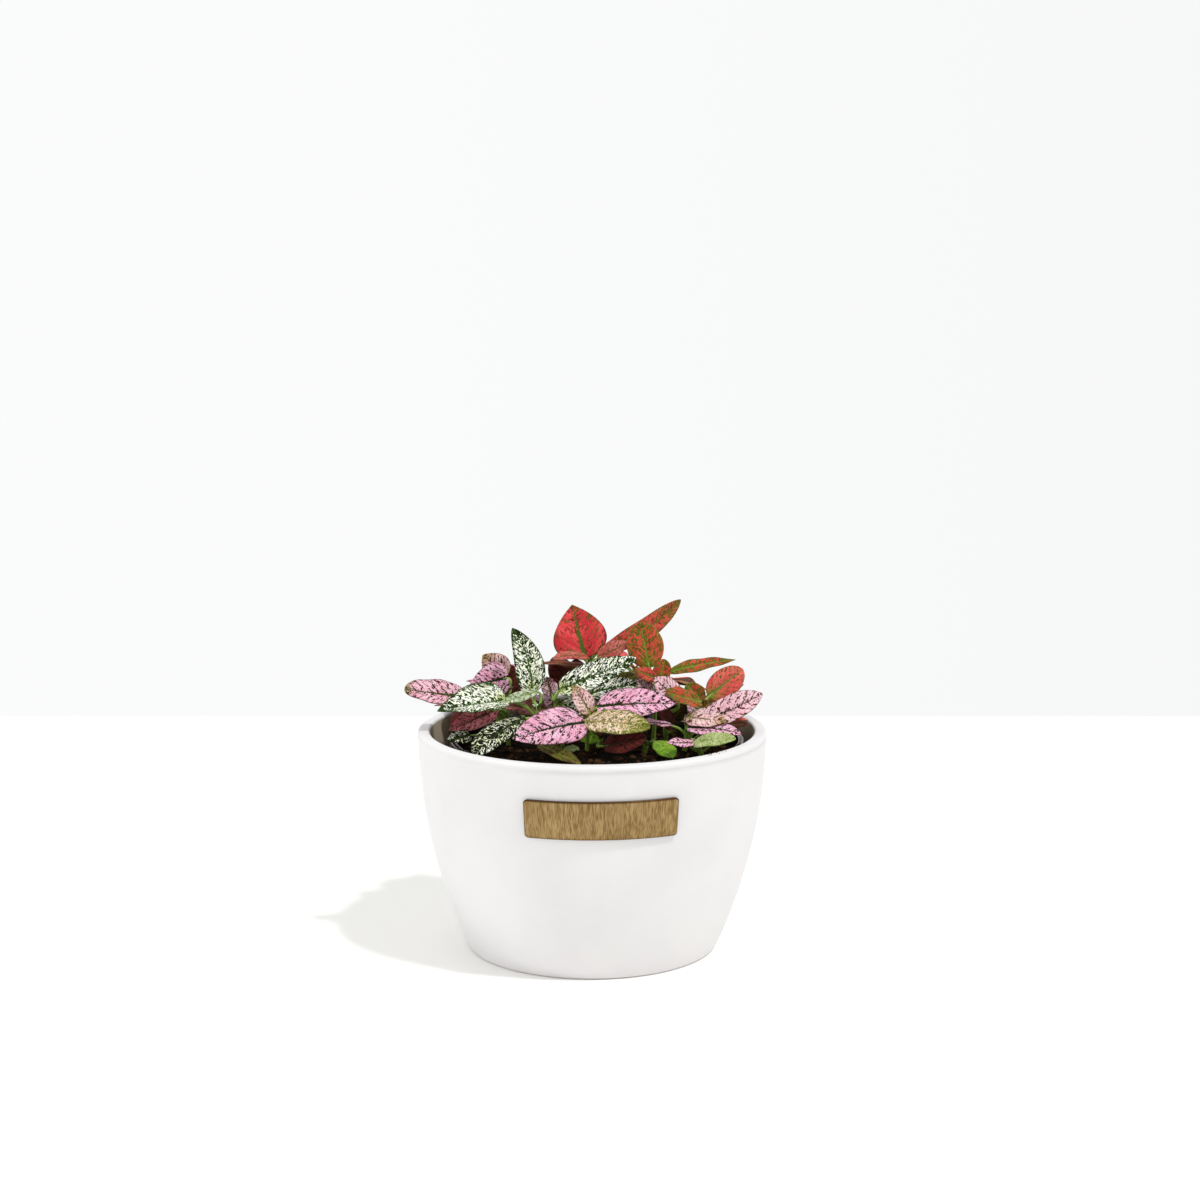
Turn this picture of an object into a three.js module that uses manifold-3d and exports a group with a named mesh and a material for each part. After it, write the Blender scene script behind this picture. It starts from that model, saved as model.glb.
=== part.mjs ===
// A potted polka dot plant: a white ceramic planter with a bare brass name plate, a thin grow
// pot of soil standing inside it, and leafy stems in pink, white and red.
// Millimetres, +Z up, origin at the centre of the planter's flat underside. -Y is the front.

import * as THREE from "three";
import { mergeVertices } from "three/addons/utils/BufferGeometryUtils.js";
import Module from "manifold-3d";

const wasm = await Module();
wasm.setup();

// Planter.
const POT_HEIGHT = 88.5;
const RIM_RADIUS = 70;
const FOOT_RADIUS = 50.6;
const WALL = 5;
const POT_FLOOR = 6;
const FOOT_EDGE = 1.6;
const LIP_OUTER_EDGE = 1.3;
const LIP_INNER_EDGE = 1;
const POT_SIDES = 48;
const POT_OUTER_STEPS = 7;
const POT_LIP_STEPS = 3;
const POT_INNER_STEPS = 4;

// Gap between pieces that touch or nearly touch.
const SEAT = 0.3;

// Grow pot, set a little to the right inside the planter.
const GROW_SHIFT = 2;
const GROW_TOP = 84.5;
const GROW_RIM_RADIUS = 59;
const GROW_TOP_RADIUS = 57.5;
const GROW_FOOT_RADIUS = 42.5;
const GROW_WALL = 1;
const GROW_RIM_DEPTH = 4;
const GROW_SIDES = 36;
const DRAIN_HOLES = 6;
const DRAIN_RADIUS = 3.5;
const DRAIN_CIRCLE = 27;
const DRAIN_SIDES = 10;

// Soil.
const SOIL_TOP = 79.5;
const SOIL_CRUMB = 0.8;
const SOIL_RINGS = 5;
const SOIL_SEED = 11;

// Name plate, bent round the front wall.
const PLATE_LENGTH = 59;
const PLATE_HEIGHT = 15;
const PLATE_MIDDLE = 67.7;
const PLATE_TURN = 3.2;
const PLATE_THICKNESS = 1;
const PLATE_CORNER = 1.6;
const PLATE_COLUMNS = 12;
const PLATE_CORNER_STEPS = 2;

// Leafy stems.
const STEM_RADIUS = 1.1;
const STEM_ROOT = 9;
const STEM_UPRIGHT = 1;
const STEM_ARCH = 1;
const STEM_SIDES = 5;
const STEM_STEPS = 4;
const PETIOLE_RADIUS = 0.95;
const PETIOLE_SIDES = 3;
const PETIOLE_STEPS = 2;
const BLADE_THICKNESS = 0.75;
const BLADE_STEPS = 6;
const SMALL_BLADE_STEPS = 4;
const SMALL_BLADE_WIDTH = 9.5;
const BLADE_FOLD = 8;
const BLADE_END_WIDTH = 1;

// A petiole joins its stem this far under the stem's top and above the soil at least, and
// falls this much for each millimetre it reaches outward. Its knee lies behind the blade.
const JOIN_UNDER_TOP = 0.6;
const JOIN_OVER_SOIL = 2;
const JOIN_DROP = 1;
const PETIOLE_FALL = 0.6;
const PETIOLE_KNEE = 0.45;
const PETIOLE_IN_BLADE = 1.6;
const JOIN_SAMPLES = 40;

// Leaf outlines: how fast a blade widens from its base, and how fast it narrows to its tip.
const OVATE = [0.55, 0.82];
const BROAD = [0.45, 0.75];
const WEDGE = [0.36, 0.86];
const ROUND = [0.5, 0.56];
const OVAL = [0.6, 0.6];
const LONG = [0.62, 0.95];
const HEART = [0.5, 0.95];
const SPADE = [0.36, 0.72];
const BLUNT = [0.3, 0.42];
const SICKLE = [0.75, 0.7];
const PADDLE = [0.7, 0.48];

const CERAMIC = new THREE.MeshStandardMaterial({ color: 0xf2f1ee, roughness: 0.6, metalness: 0 });
const BRASS = new THREE.MeshStandardMaterial({ color: 0xa98a55, roughness: 0.4, metalness: 1 });
const PLASTIC = new THREE.MeshStandardMaterial({ color: 0x1d1c1b, roughness: 0.5, metalness: 0 });
const SOIL = new THREE.MeshStandardMaterial({ color: 0x2a1a12, roughness: 1, metalness: 0 });
const PINK = new THREE.MeshStandardMaterial({ color: 0xe69fc4, roughness: 0.5, metalness: 0 });
const WHITE = new THREE.MeshStandardMaterial({ color: 0xb9c9a4, roughness: 0.5, metalness: 0 });
const RED = new THREE.MeshStandardMaterial({ color: 0xc63b41, roughness: 0.5, metalness: 0 });
const GREEN = new THREE.MeshStandardMaterial({ color: 0x7d9c46, roughness: 0.5, metalness: 0 });

const group = new THREE.Group();

// A repeatable random number from 0 to 1.
function seededRandom(seed) {
  let state = seed;
  return () => {
    state = (state * 1664525 + 1013904223) % 4294967296;
    return state / 4294967296;
  };
}

// ---- Solids -------------------------------------------------------------------------------

// The geometry with its shared corners merged and its flat triangles dropped.
function closed(geometry) {
  const bare = new THREE.BufferGeometry();
  bare.setAttribute("position", geometry.getAttribute("position"));
  bare.setIndex(geometry.getIndex());
  const merged = mergeVertices(bare, 1e-4);
  const index = merged.getIndex().array;
  const kept = [];
  for (let i = 0; i < index.length; i += 3) {
    const [a, b, c] = [index[i], index[i + 1], index[i + 2]];
    if (a !== b && b !== c && c !== a) kept.push(a, b, c);
  }
  merged.setIndex(kept);
  return merged;
}

function toSolid(geometry) {
  const mesh = closed(geometry);
  const vertProperties = new Float32Array(mesh.getAttribute("position").array);
  const triVerts = new Uint32Array(mesh.getIndex().array);
  return new wasm.Manifold(new wasm.Mesh({ numProp: 3, vertProperties, triVerts }));
}

function toGeometry(solid) {
  const mesh = solid.getMesh();
  const geometry = new THREE.BufferGeometry();
  geometry.setAttribute("position", new THREE.BufferAttribute(mesh.vertProperties, 3));
  geometry.setIndex(new THREE.BufferAttribute(mesh.triVerts, 1));
  return geometry;
}

function addPiece(name, geometry, material) {
  const mesh = new THREE.Mesh(geometry, material);
  mesh.name = name;
  group.add(mesh);
}

// A profile of [radius, height] points turned about the Z axis.
function turned(profile, sides) {
  const points = profile.map(([radius, height]) => new THREE.Vector2(radius, height));
  return new THREE.LatheGeometry(points, sides).rotateX(Math.PI / 2);
}

// A tube of a few flat sides along a curve.
function tube(curve, radius, sides, steps) {
  const section = new THREE.Shape();
  for (let k = 0; k < sides; k += 1) {
    const angle = (2 * Math.PI * k) / sides;
    const [x, y] = [radius * Math.cos(angle), radius * Math.sin(angle)];
    if (k === 0) section.moveTo(x, y);
    else section.lineTo(x, y);
  }
  section.closePath();
  return new THREE.ExtrudeGeometry(section, { steps, bevelEnabled: false, extrudePath: curve });
}

// A closed slab from two matching grids of points, front[row][column] and back[row][column].
function slab(front, back) {
  const rows = front.length;
  const columns = front[0].length;
  const points = [...front.flat(), ...back.flat()];
  const at = (row, column, side) => side * rows * columns + row * columns + column;
  const index = [];
  const quad = (a, b, c, d) => index.push(a, b, c, a, c, d);
  for (let r = 0; r < rows - 1; r += 1) {
    for (let c = 0; c < columns - 1; c += 1) {
      const [a, b, d, e] = [at(r, c, 0), at(r, c + 1, 0), at(r + 1, c + 1, 0), at(r + 1, c, 0)];
      index.push(a, b, d, a, d, e);
      const [f, g, h, i] = [at(r, c, 1), at(r, c + 1, 1), at(r + 1, c + 1, 1), at(r + 1, c, 1)];
      index.push(f, h, g, f, i, h);
    }
    const last = columns - 1;
    quad(at(r, 0, 1), at(r, 0, 0), at(r + 1, 0, 0), at(r + 1, 0, 1));
    quad(at(r, last, 0), at(r, last, 1), at(r + 1, last, 1), at(r + 1, last, 0));
  }
  for (let c = 0; c < columns - 1; c += 1) {
    const last = rows - 1;
    quad(at(0, c, 1), at(0, c + 1, 1), at(0, c + 1, 0), at(0, c, 0));
    quad(at(last, c, 0), at(last, c + 1, 0), at(last, c + 1, 1), at(last, c, 1));
  }
  const geometry = new THREE.BufferGeometry();
  const numbers = new Float32Array(points.flatMap((p) => p.toArray()));
  geometry.setAttribute("position", new THREE.BufferAttribute(numbers, 3));
  geometry.setIndex(index);
  return geometry;
}

// ---- Planter ------------------------------------------------------------------------------

// The wall flares fast at the foot and stands nearly upright at the rim.
function potRadius(height) {
  const down = 1 - height / POT_HEIGHT;
  return FOOT_RADIUS + (RIM_RADIUS - FOOT_RADIUS) * (1 - down * down);
}

function makePlanter() {
  const outerTop = POT_HEIGHT - LIP_OUTER_EDGE;
  const innerTop = POT_HEIGHT - LIP_INNER_EDGE;
  const profile = [[0, 0], [potRadius(0) - FOOT_EDGE, 0]];
  for (let i = 0; i < POT_OUTER_STEPS; i += 1) {
    const height = FOOT_EDGE + ((outerTop - FOOT_EDGE) * i) / POT_OUTER_STEPS;
    profile.push([potRadius(height), height]);
  }
  const round = (centre, base, edge, start) => {
    for (let i = 0; i <= POT_LIP_STEPS; i += 1) {
      const angle = start + ((Math.PI / 2) * i) / POT_LIP_STEPS;
      profile.push([centre + edge * Math.cos(angle), base + edge * Math.sin(angle)]);
    }
  };
  round(RIM_RADIUS - LIP_OUTER_EDGE, outerTop, LIP_OUTER_EDGE, 0);
  round(RIM_RADIUS - WALL + LIP_INNER_EDGE, innerTop, LIP_INNER_EDGE, Math.PI / 2);
  for (let i = 1; i <= POT_INNER_STEPS; i += 1) {
    const height = innerTop + ((POT_FLOOR - innerTop) * i) / POT_INNER_STEPS;
    profile.push([potRadius(height) - WALL, height]);
  }
  profile.push([0, POT_FLOOR]);
  addPiece("outer_pot", closed(turned(profile, POT_SIDES)), CERAMIC);
}

// The plate lies off the wall by the seat gap and follows its turn and its slope.
function makeNamePlate() {
  const radius = potRadius(PLATE_MIDDLE);
  const halfLength = PLATE_LENGTH / 2;
  const along = [];
  for (let i = 0; i <= PLATE_CORNER_STEPS; i += 1) {
    const quarter = (Math.PI / 2) * (i / PLATE_CORNER_STEPS);
    along.push(halfLength - PLATE_CORNER * Math.sin(quarter));
  }
  const straight = halfLength - PLATE_CORNER;
  const columns = [...along];
  for (let i = 1; i < PLATE_COLUMNS; i += 1) {
    columns.push(straight - (2 * straight * i) / PLATE_COLUMNS);
  }
  for (const x of [...along].reverse()) columns.push(-x);
  const levels = [-1, 0, 1];
  const front = [];
  const back = [];
  for (const x of columns) {
    const inCorner = Math.max(0, Math.abs(x) - straight);
    const corner = PLATE_CORNER - Math.sqrt(PLATE_CORNER ** 2 - Math.min(inCorner, PLATE_CORNER) ** 2);
    const half = PLATE_HEIGHT / 2 - corner;
    const angle = THREE.MathUtils.degToRad(PLATE_TURN - 90) + x / radius;
    const place = (level, out) => {
      const height = PLATE_MIDDLE + level * half;
      const reach = potRadius(height) + SEAT + out;
      return new THREE.Vector3(reach * Math.cos(angle), reach * Math.sin(angle), height);
    };
    front.push(levels.map((level) => place(level, PLATE_THICKNESS)));
    back.push(levels.map((level) => place(level, 0)));
  }
  addPiece("name_plate", closed(slab(front, back)), BRASS);
}

// ---- Grow pot and soil --------------------------------------------------------------------

function growRadius(height) {
  const share = (height - POT_FLOOR - SEAT) / (GROW_TOP - POT_FLOOR - SEAT);
  return GROW_FOOT_RADIUS + (GROW_TOP_RADIUS - GROW_FOOT_RADIUS) * share;
}

function makeGrowPot() {
  const foot = POT_FLOOR + SEAT;
  const floor = foot + GROW_WALL;
  const skirt = GROW_TOP - GROW_RIM_DEPTH;
  const profile = [
    [0, foot],
    [GROW_FOOT_RADIUS, foot],
    [growRadius(skirt), skirt],
    [GROW_RIM_RADIUS, skirt],
    [GROW_RIM_RADIUS, GROW_TOP],
    [GROW_TOP_RADIUS - GROW_WALL, GROW_TOP],
    [growRadius(floor) - GROW_WALL, floor],
    [0, floor],
  ];
  let cup = toSolid(turned(profile, GROW_SIDES));
  for (let k = 0; k < DRAIN_HOLES; k += 1) {
    const angle = (2 * Math.PI * (k + 0.5)) / DRAIN_HOLES;
    const drill = new THREE.CylinderGeometry(DRAIN_RADIUS, DRAIN_RADIUS, 4 * GROW_WALL, DRAIN_SIDES);
    drill.rotateX(Math.PI / 2);
    drill.translate(DRAIN_CIRCLE * Math.cos(angle), DRAIN_CIRCLE * Math.sin(angle), foot);
    cup = cup.subtract(toSolid(drill));
  }
  addPiece("grow_pot", toGeometry(cup).translate(GROW_SHIFT, 0, 0), PLASTIC);
}

// Crumbly soil fills the grow pot, with a plain hole for each stem.
function makeSoil(stems) {
  const random = seededRandom(SOIL_SEED);
  const floor = POT_FLOOR + GROW_WALL + 2 * SEAT;
  const edge = growRadius(SOIL_TOP) - GROW_WALL - SEAT;
  const profile = [[0, floor], [growRadius(floor) - GROW_WALL - SEAT, floor]];
  for (let ring = 0; ring <= SOIL_RINGS; ring += 1) {
    profile.push([edge * (1 - ring / SOIL_RINGS), SOIL_TOP]);
  }
  const geometry = closed(turned(profile, GROW_SIDES));
  const position = geometry.getAttribute("position");
  for (let i = 0; i < position.count; i += 1) {
    if (position.getZ(i) > SOIL_TOP - 0.01) {
      position.setZ(i, SOIL_TOP + SOIL_CRUMB * (random() - 0.5) * 2);
    }
  }
  let soil = toSolid(geometry.translate(GROW_SHIFT, 0, 0));
  const holeRadius = (STEM_RADIUS + SEAT) / Math.cos(Math.PI / STEM_SIDES);
  for (const stem of stems) {
    const depth = STEM_ROOT + SEAT;
    const drill = new THREE.CylinderGeometry(holeRadius, holeRadius, 2 * depth, STEM_SIDES);
    drill.rotateX(Math.PI / 2);
    drill.translate(stem.foot[0], stem.foot[1], SOIL_TOP);
    soil = soil.subtract(toSolid(drill));
  }
  addPiece("soil", toGeometry(soil), SOIL);
}

// ---- Leafy stems --------------------------------------------------------------------------

// One leaf: where its blade starts and ends, its width, the compass turn and the lift of the
// way it faces in degrees (90 lift faces straight up), its outline, how far its middle rises
// out of line and bends sideways, and how far each half folds up in degrees.
function leaf(
  bx, by, bz, tx, ty, tz, width, turn, lift, outline, rise = 0, bend = 0, fold = BLADE_FOLD,
) {
  const base = new THREE.Vector3(bx, by, bz);
  const tip = new THREE.Vector3(tx, ty, tz);
  return { base, tip, width, turn, lift, outline, rise, bend, fold };
}

function bladeFrame(one) {
  const along = one.tip.clone().sub(one.base);
  const length = along.length();
  along.normalize();
  const turn = THREE.MathUtils.degToRad(one.turn);
  const lift = THREE.MathUtils.degToRad(one.lift);
  const flat = Math.cos(lift);
  const face = new THREE.Vector3(flat * Math.cos(turn), flat * Math.sin(turn), Math.sin(lift));
  face.addScaledVector(along, -face.dot(along)).normalize();
  const across = new THREE.Vector3().crossVectors(along, face);
  return { along, face, across, length };
}

// Half the blade's width at a share of its length.
function halfWidth(one, share) {
  const [grow, fade] = one.outline;
  const widest = grow / (grow + fade);
  const peak = widest ** grow * (1 - widest) ** fade;
  const half = (one.width / 2) * ((share ** grow * (1 - share) ** fade) / peak);
  return Math.max(half, BLADE_END_WIDTH / 2);
}

function blade(one) {
  const { along, face, across, length } = bladeFrame(one);
  const steps = one.width < SMALL_BLADE_WIDTH ? SMALL_BLADE_STEPS : BLADE_STEPS;
  const fold = THREE.MathUtils.degToRad(one.fold);
  const front = [];
  const back = [];
  for (let step = 0; step <= steps; step += 1) {
    const share = step / steps;
    const half = halfWidth(one, share);
    const hump = 4 * share * (1 - share);
    const place = (side, out) => one.base
      .clone()
      .addScaledVector(along, length * share)
      .addScaledVector(across, one.bend * hump + side * half * Math.cos(fold))
      .addScaledVector(face, one.rise * hump + Math.abs(side) * half * Math.sin(fold) + out);
    front.push([-1, 0, 1].map((side) => place(side, BLADE_THICKNESS / 2)));
    back.push([-1, 0, 1].map((side) => place(side, -BLADE_THICKNESS / 2)));
  }
  return slab(front, back);
}

// The stem rises straight out of its hole and leans to its top.
function stemCurve(stem) {
  const [x, y] = stem.foot;
  const [topX, topY, topZ] = stem.top;
  return new THREE.CatmullRomCurve3([
    new THREE.Vector3(x, y, SOIL_TOP - STEM_ROOT),
    new THREE.Vector3(x, y, SOIL_TOP + STEM_UPRIGHT),
    new THREE.Vector3((x + topX) / 2, (y + topY) / 2, (SOIL_TOP + topZ) / 2 + STEM_ARCH),
    new THREE.Vector3(topX, topY, topZ),
  ]);
}

// A petiole climbs from the stem and runs into the blade along the blade's own line.
function petiole(stem, one) {
  const { along } = bladeFrame(one);
  const [topX, topY, topZ] = stem.top;
  const reach = Math.hypot(one.base.x - topX, one.base.y - topY);
  const wanted = one.base.z - PETIOLE_FALL * reach - JOIN_DROP;
  const height = Math.min(topZ - JOIN_UNDER_TOP, Math.max(SOIL_TOP + JOIN_OVER_SOIL, wanted));
  const curve = stemCurve(stem);
  let from = curve.getPoint(1);
  for (let i = 0; i <= JOIN_SAMPLES; i += 1) {
    const point = curve.getPoint(i / JOIN_SAMPLES);
    if (Math.abs(point.z - height) < Math.abs(from.z - height)) from = point;
  }
  const into = one.base.clone().addScaledVector(along, PETIOLE_IN_BLADE);
  const behind = -PETIOLE_KNEE * from.distanceTo(one.base);
  const knee = one.base.clone().addScaledVector(along, behind);
  const path = new THREE.QuadraticBezierCurve3(from, knee, into);
  return tube(path, PETIOLE_RADIUS, PETIOLE_SIDES, PETIOLE_STEPS);
}

// The one largest body of a solid, without scraps and sealed pockets.
function largestBody(solid) {
  return solid.decompose().reduce((best, one) => (one.volume() > best.volume() ? one : best));
}

function makeLeafyStem(stem) {
  let solid = toSolid(tube(stemCurve(stem), STEM_RADIUS, STEM_SIDES, STEM_STEPS));
  for (const one of stem.leaves) {
    solid = solid.add(toSolid(petiole(stem, one)));
    solid = solid.add(toSolid(blade(one)));
  }
  addPiece(stem.name, toGeometry(largestBody(solid)), stem.colour);
}

const LEAFY_STEMS = [
  {
    name: "pink_leafy_stem_left",
    colour: PINK,
    foot: [-34, 8],
    top: [-35, 9.5, 100],
    leaves: [
      leaf(-51, -2, 101, -74.4, -8, 105.5, 13.3, -90, 52, BLUNT, 0, 0, 14),
      leaf(-34, 13, 106.5, -49.7, 9, 103.5, 15, -90, 26, WEDGE, 0, 0, 14),
      leaf(-35.2, 20, 105.5, -44.7, 18, 114.8, 12, -110, 30, OVATE),
      leaf(-38, 4, 95, -57, -6, 88.5, 10, -90, 38, OVATE),
      leaf(-50.5, 8, 95, -56.5, 2, 87, 8, -120, 25, OVATE),
    ],
  },
  {
    name: "white_leafy_stem_left",
    colour: WHITE,
    foot: [-21, 0],
    top: [-22, -2, 96],
    leaves: [
      leaf(-34, -5, 100.5, -61, -15, 98.2, 19, -90, 58, WEDGE, 0.5, 0, 24),
      leaf(-24.3, 2, 102, -32, 6, 128, 12.4, -80, 8, SPADE, 0, 2.3, 12),
      leaf(-26.5, -8, 94, -45.8, -28, 84, 13, -110, 50, PADDLE, 1.5),
      leaf(-48, -10, 87.5, -57, -17, 87, 7, -90, 45, OVATE),
      leaf(-21.5, 0, 103.5, -37.5, -10, 100, 5, -90, 40, LONG),
    ],
  },
  {
    name: "white_leafy_stem_middle",
    colour: WHITE,
    foot: [-12, 4],
    top: [-14.5, 1, 97.5],
    leaves: [
      leaf(-13.5, 0, 103.5, 17.8, -6, 118, 12.5, -95, 36, BROAD, 0, 0, 14),
      leaf(-3, 8, 100, 20, 6, 105, 11, -90, 50, OVATE, 1),
      leaf(-13, 2, 98, -2, -4, 94, 11, -80, 45, OVATE),
      leaf(-16, 6, 100, -18.5, 9, 107.5, 7, -90, 15, OVATE),
      leaf(3, 12, 104.5, 19.5, 14, 107, 8, -90, 50, OVATE),
    ],
  },
  {
    name: "pink_leafy_stem_middle",
    colour: PINK,
    foot: [-2, -3],
    top: [-2, -7, 93],
    leaves: [
      leaf(2, -8, 98.5, 32.5, -14, 101, 15, -90, 45, BROAD, 1),
      leaf(-0.5, -9, 96, -7.6, -9, 107.5, 8.5, -75, 22, OVATE),
      leaf(-2.8, -11, 92.8, -30.6, -30.2, 90.4, 17, -90, 36, BROAD, 1.5),
      leaf(-3.5, -9, 93, 22.5, -28, 94.2, 12.8, -90, 46, ROUND, 1),
    ],
  },
  {
    name: "red_leafy_stem_left",
    colour: RED,
    foot: [2, 20],
    top: [-1, 17, 111],
    leaves: [
      leaf(-3, 17, 113.5, -8.3, 25, 134.4, 22.3, -92, 8, HEART),
      leaf(-1.5, 14, 114.5, -16, 4, 115.5, 9, -90, 72, OVATE, 1),
      leaf(-2.5, 12, 111, -21, 16, 112, 9, -90, 86, OVATE),
      leaf(2, 12, 114.5, 15, 8, 121.5, 9.5, -100, 45, OVATE),
      leaf(-9, 21, 100.5, -16, 20, 113.5, 11, -90, 12, ROUND),
      leaf(-5.5, 20.5, 103.5, -7, 20.5, 112.5, 8, -90, 12, ROUND),
      leaf(2, 20, 115.5, 36.3, 28, 136.2, 9.6, -100, 30, SICKLE, 0, 3),
    ],
  },
  {
    name: "red_leafy_stem_middle",
    colour: RED,
    foot: [25, 14],
    top: [26, 5, 106],
    leaves: [
      leaf(23, 4, 112, 19.3, 7, 130, 15, -85, 8, ROUND),
      leaf(27, 1, 107, 29, 2, 116, 7.5, -90, 10, ROUND),
      leaf(26, 0, 108.5, 16, -2, 112.5, 6.2, -90, 38, OVATE),
      leaf(30.5, 10, 109, 58, 12, 113.8, 6.8, -90, 52, LONG, 1),
    ],
  },
  {
    name: "pink_leafy_stem_back_right",
    colour: PINK,
    foot: [30, 7],
    top: [29, 5, 95],
    leaves: [
      leaf(34.5, -2, 99.5, 24.5, -4, 109.5, 12, -60, 30, OVATE),
      leaf(24, 1, 100, 18, -1, 109, 8, -60, 30, OVATE),
      leaf(33.5, 1.5, 89, 26.5, -3.5, 95, 8.5, -90, 40, OVATE),
      leaf(32.3, 6, 90, 37, 4, 98, 8, -90, 22, ROUND),
    ],
  },
  {
    name: "red_leafy_stem_right",
    colour: RED,
    foot: [38, 4],
    top: [44.5, 0, 97],
    leaves: [
      leaf(46.5, 0, 101, 60.5, 4, 111.5, 12, -80, 22, ROUND),
      leaf(44, -0.2, 98.8, 29.2, -8.5, 104.2, 10.5, -90, 55, ROUND),
      leaf(44.5, 3, 98.5, 38, 6, 105, 8, -90, 30, ROUND),
      leaf(44.5, 1.5, 99, 51.5, 4, 96, 8, -80, 55, OVATE),
      leaf(47, 8, 88, 63, 7, 90, 12, 0, 75, OVATE, 1),
    ],
  },
  {
    name: "pink_leafy_stem_right",
    colour: PINK,
    foot: [37, -5],
    top: [38, -8, 91],
    leaves: [
      leaf(42, -8.8, 93, 67.4, -10.5, 104.4, 12.5, -95, 42, SICKLE, 0, 1.2, 14),
      leaf(37.5, -6, 94, 53, -15, 94, 10.5, -90, 52, BROAD),
      leaf(38, -10, 90.5, 58.7, -20, 90, 10, -90, 62, BROAD, 1),
      leaf(54, -4, 90.5, 62, -8, 91.5, 6, -90, 60, OVATE),
      leaf(32, -8.5, 91.2, 15, -14, 94.2, 6.5, -90, 78, OVATE),
    ],
  },
  {
    name: "green_leafy_stem_right",
    colour: GREEN,
    foot: [43, -18],
    top: [42, -20, 84.5],
    leaves: [
      leaf(39, -25, 87, 55.5, -34, 91.3, 7.2, -90, 50, ROUND, 1),
      leaf(41, -24, 87.3, 29.5, -30, 88.6, 6.6, -90, 68, OVAL),
      leaf(47, -18, 86.5, 38, -22, 86.5, 5.5, -90, 62, OVATE),
    ],
  },
  {
    name: "green_leafy_stem_middle",
    colour: GREEN,
    foot: [3, 2],
    top: [3.5, 0, 83.5],
    leaves: [
      leaf(4.5, -8, 82.5, 21.5, -13, 87, 11, -90, 45, ROUND),
      leaf(3.5, 4, 84.5, -6.5, 4, 83.5, 7.5, -90, 35, OVATE),
    ],
  },
  {
    name: "green_leafy_stem_low_right",
    colour: GREEN,
    foot: [21, -7],
    top: [22, -9, 83],
    leaves: [
      leaf(25.5, -12, 85.5, 31.5, -27, 82.2, 8.6, -80, 46, OVAL),
      leaf(19, -6, 85, 8, 6, 87, 8, -90, 70, OVATE),
    ],
  },
  {
    name: "green_leafy_stem_front",
    colour: GREEN,
    foot: [-14, -12],
    top: [-14, -14, 83.5],
    leaves: [
      leaf(-21, -17, 85, -4, -34, 81, 7, -100, 60, OVATE, 0, 0, 20),
      leaf(-5.5, -12, 83, -11, -18, 83, 4.5, -90, 60, OVATE),
    ],
  },
  {
    name: "pink_leafy_stem_behind",
    colour: PINK,
    foot: [-22, 14],
    top: [-20, 12, 92.5],
    leaves: [
      leaf(-18, 9, 94, -38, 0, 97.5, 9.5, -90, 52, OVATE),
      leaf(-32, 23, 95.5, -33.5, 24, 109.5, 9, -90, 15, ROUND),
      leaf(-28, 18, 92.5, -48, 20, 93, 11, 90, 75, OVATE, 1),
      leaf(-14, 20, 91.5, 2, 36, 92.5, 14, 60, 78, OVATE, 1),
      leaf(-20, 20, 93, -23, 44, 93, 13, 90, 75, OVATE, 1),
    ],
  },
  {
    name: "pink_leafy_stem_back_left",
    colour: PINK,
    foot: [-36, 28],
    top: [-39, 31, 98],
    leaves: [
      leaf(-45, 28.5, 96, -59.5, 23, 93.5, 15, 150, 72, OVATE, 1),
      leaf(-43, 37, 98.5, -47.5, 58, 95.5, 16, 125, 66, OVATE, 2),
      leaf(-34, 38, 101, -30, 66, 101, 17, 85, 62, OVATE, 2),
      leaf(-43, 25, 95.5, -58, 16, 95, 11, -120, 72, OVATE, 1),
      leaf(-43, 31, 89, -66, 36, 90, 14, 160, 70, OVATE, 1),
    ],
  },
  {
    name: "white_leafy_stem_back",
    colour: WHITE,
    foot: [-8, 40],
    top: [-9, 42, 96],
    leaves: [
      leaf(-8, 50, 97, -6, 77, 93, 17, 95, 60, OVATE, 2),
      leaf(1, 46, 98, 24, 62, 97, 16, 60, 62, OVATE, 2),
      leaf(-15, 38, 99, -27, 17, 102, 15, -100, 68, OVATE, 1),
      leaf(-2, 36, 100, 10, 18, 106, 11, -80, 65, OVATE, 1),
      leaf(-14, 46, 88, -34, 54, 87, 14, 120, 70, OVATE, 1),
    ],
  },
  {
    name: "red_leafy_stem_back",
    colour: RED,
    foot: [18, 38],
    top: [18, 40, 104],
    leaves: [
      leaf(12, 46, 107, -4, 68, 110, 18, 110, 50, BROAD, 1.5),
      leaf(25, 46, 97, 44, 62, 94, 16, 55, 62, OVATE, 2),
      leaf(26, 34, 100, 48, 29, 98, 14, 20, 70, OVATE, 1),
      leaf(22, 47, 90, 26, 71, 89, 15, 80, 65, OVATE, 1),
    ],
  },
  {
    name: "pink_leafy_stem_back_far_right",
    colour: PINK,
    foot: [44, 24],
    top: [46, 26, 92],
    leaves: [
      leaf(50, 21, 94, 64, 14, 94, 13, 0, 68, OVATE, 1),
      leaf(51, 33, 95, 62, 52, 96, 15, 50, 65, OVATE, 2),
      leaf(40, 27, 93, 18, 26, 95, 14, 100, 75, OVATE, 1),
      leaf(44, 34, 86, 37, 50, 87, 12, 80, 75, OVATE, 1),
    ],
  },
];

makePlanter();
makeNamePlate();
makeGrowPot();
makeSoil(LEAFY_STEMS);
for (const stem of LEAFY_STEMS) makeLeafyStem(stem);

export default group;
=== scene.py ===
"""A potted polka dot plant: a white ceramic planter with a bare brass plate, a thin grow pot of
soil inside it, and leafy stems in pink, white, red and green.

Sizes and places are millimetres until a mesh is made, +Z up and -Y the front, as in the CAD.
"""

import math
import random
from dataclasses import dataclass

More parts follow.
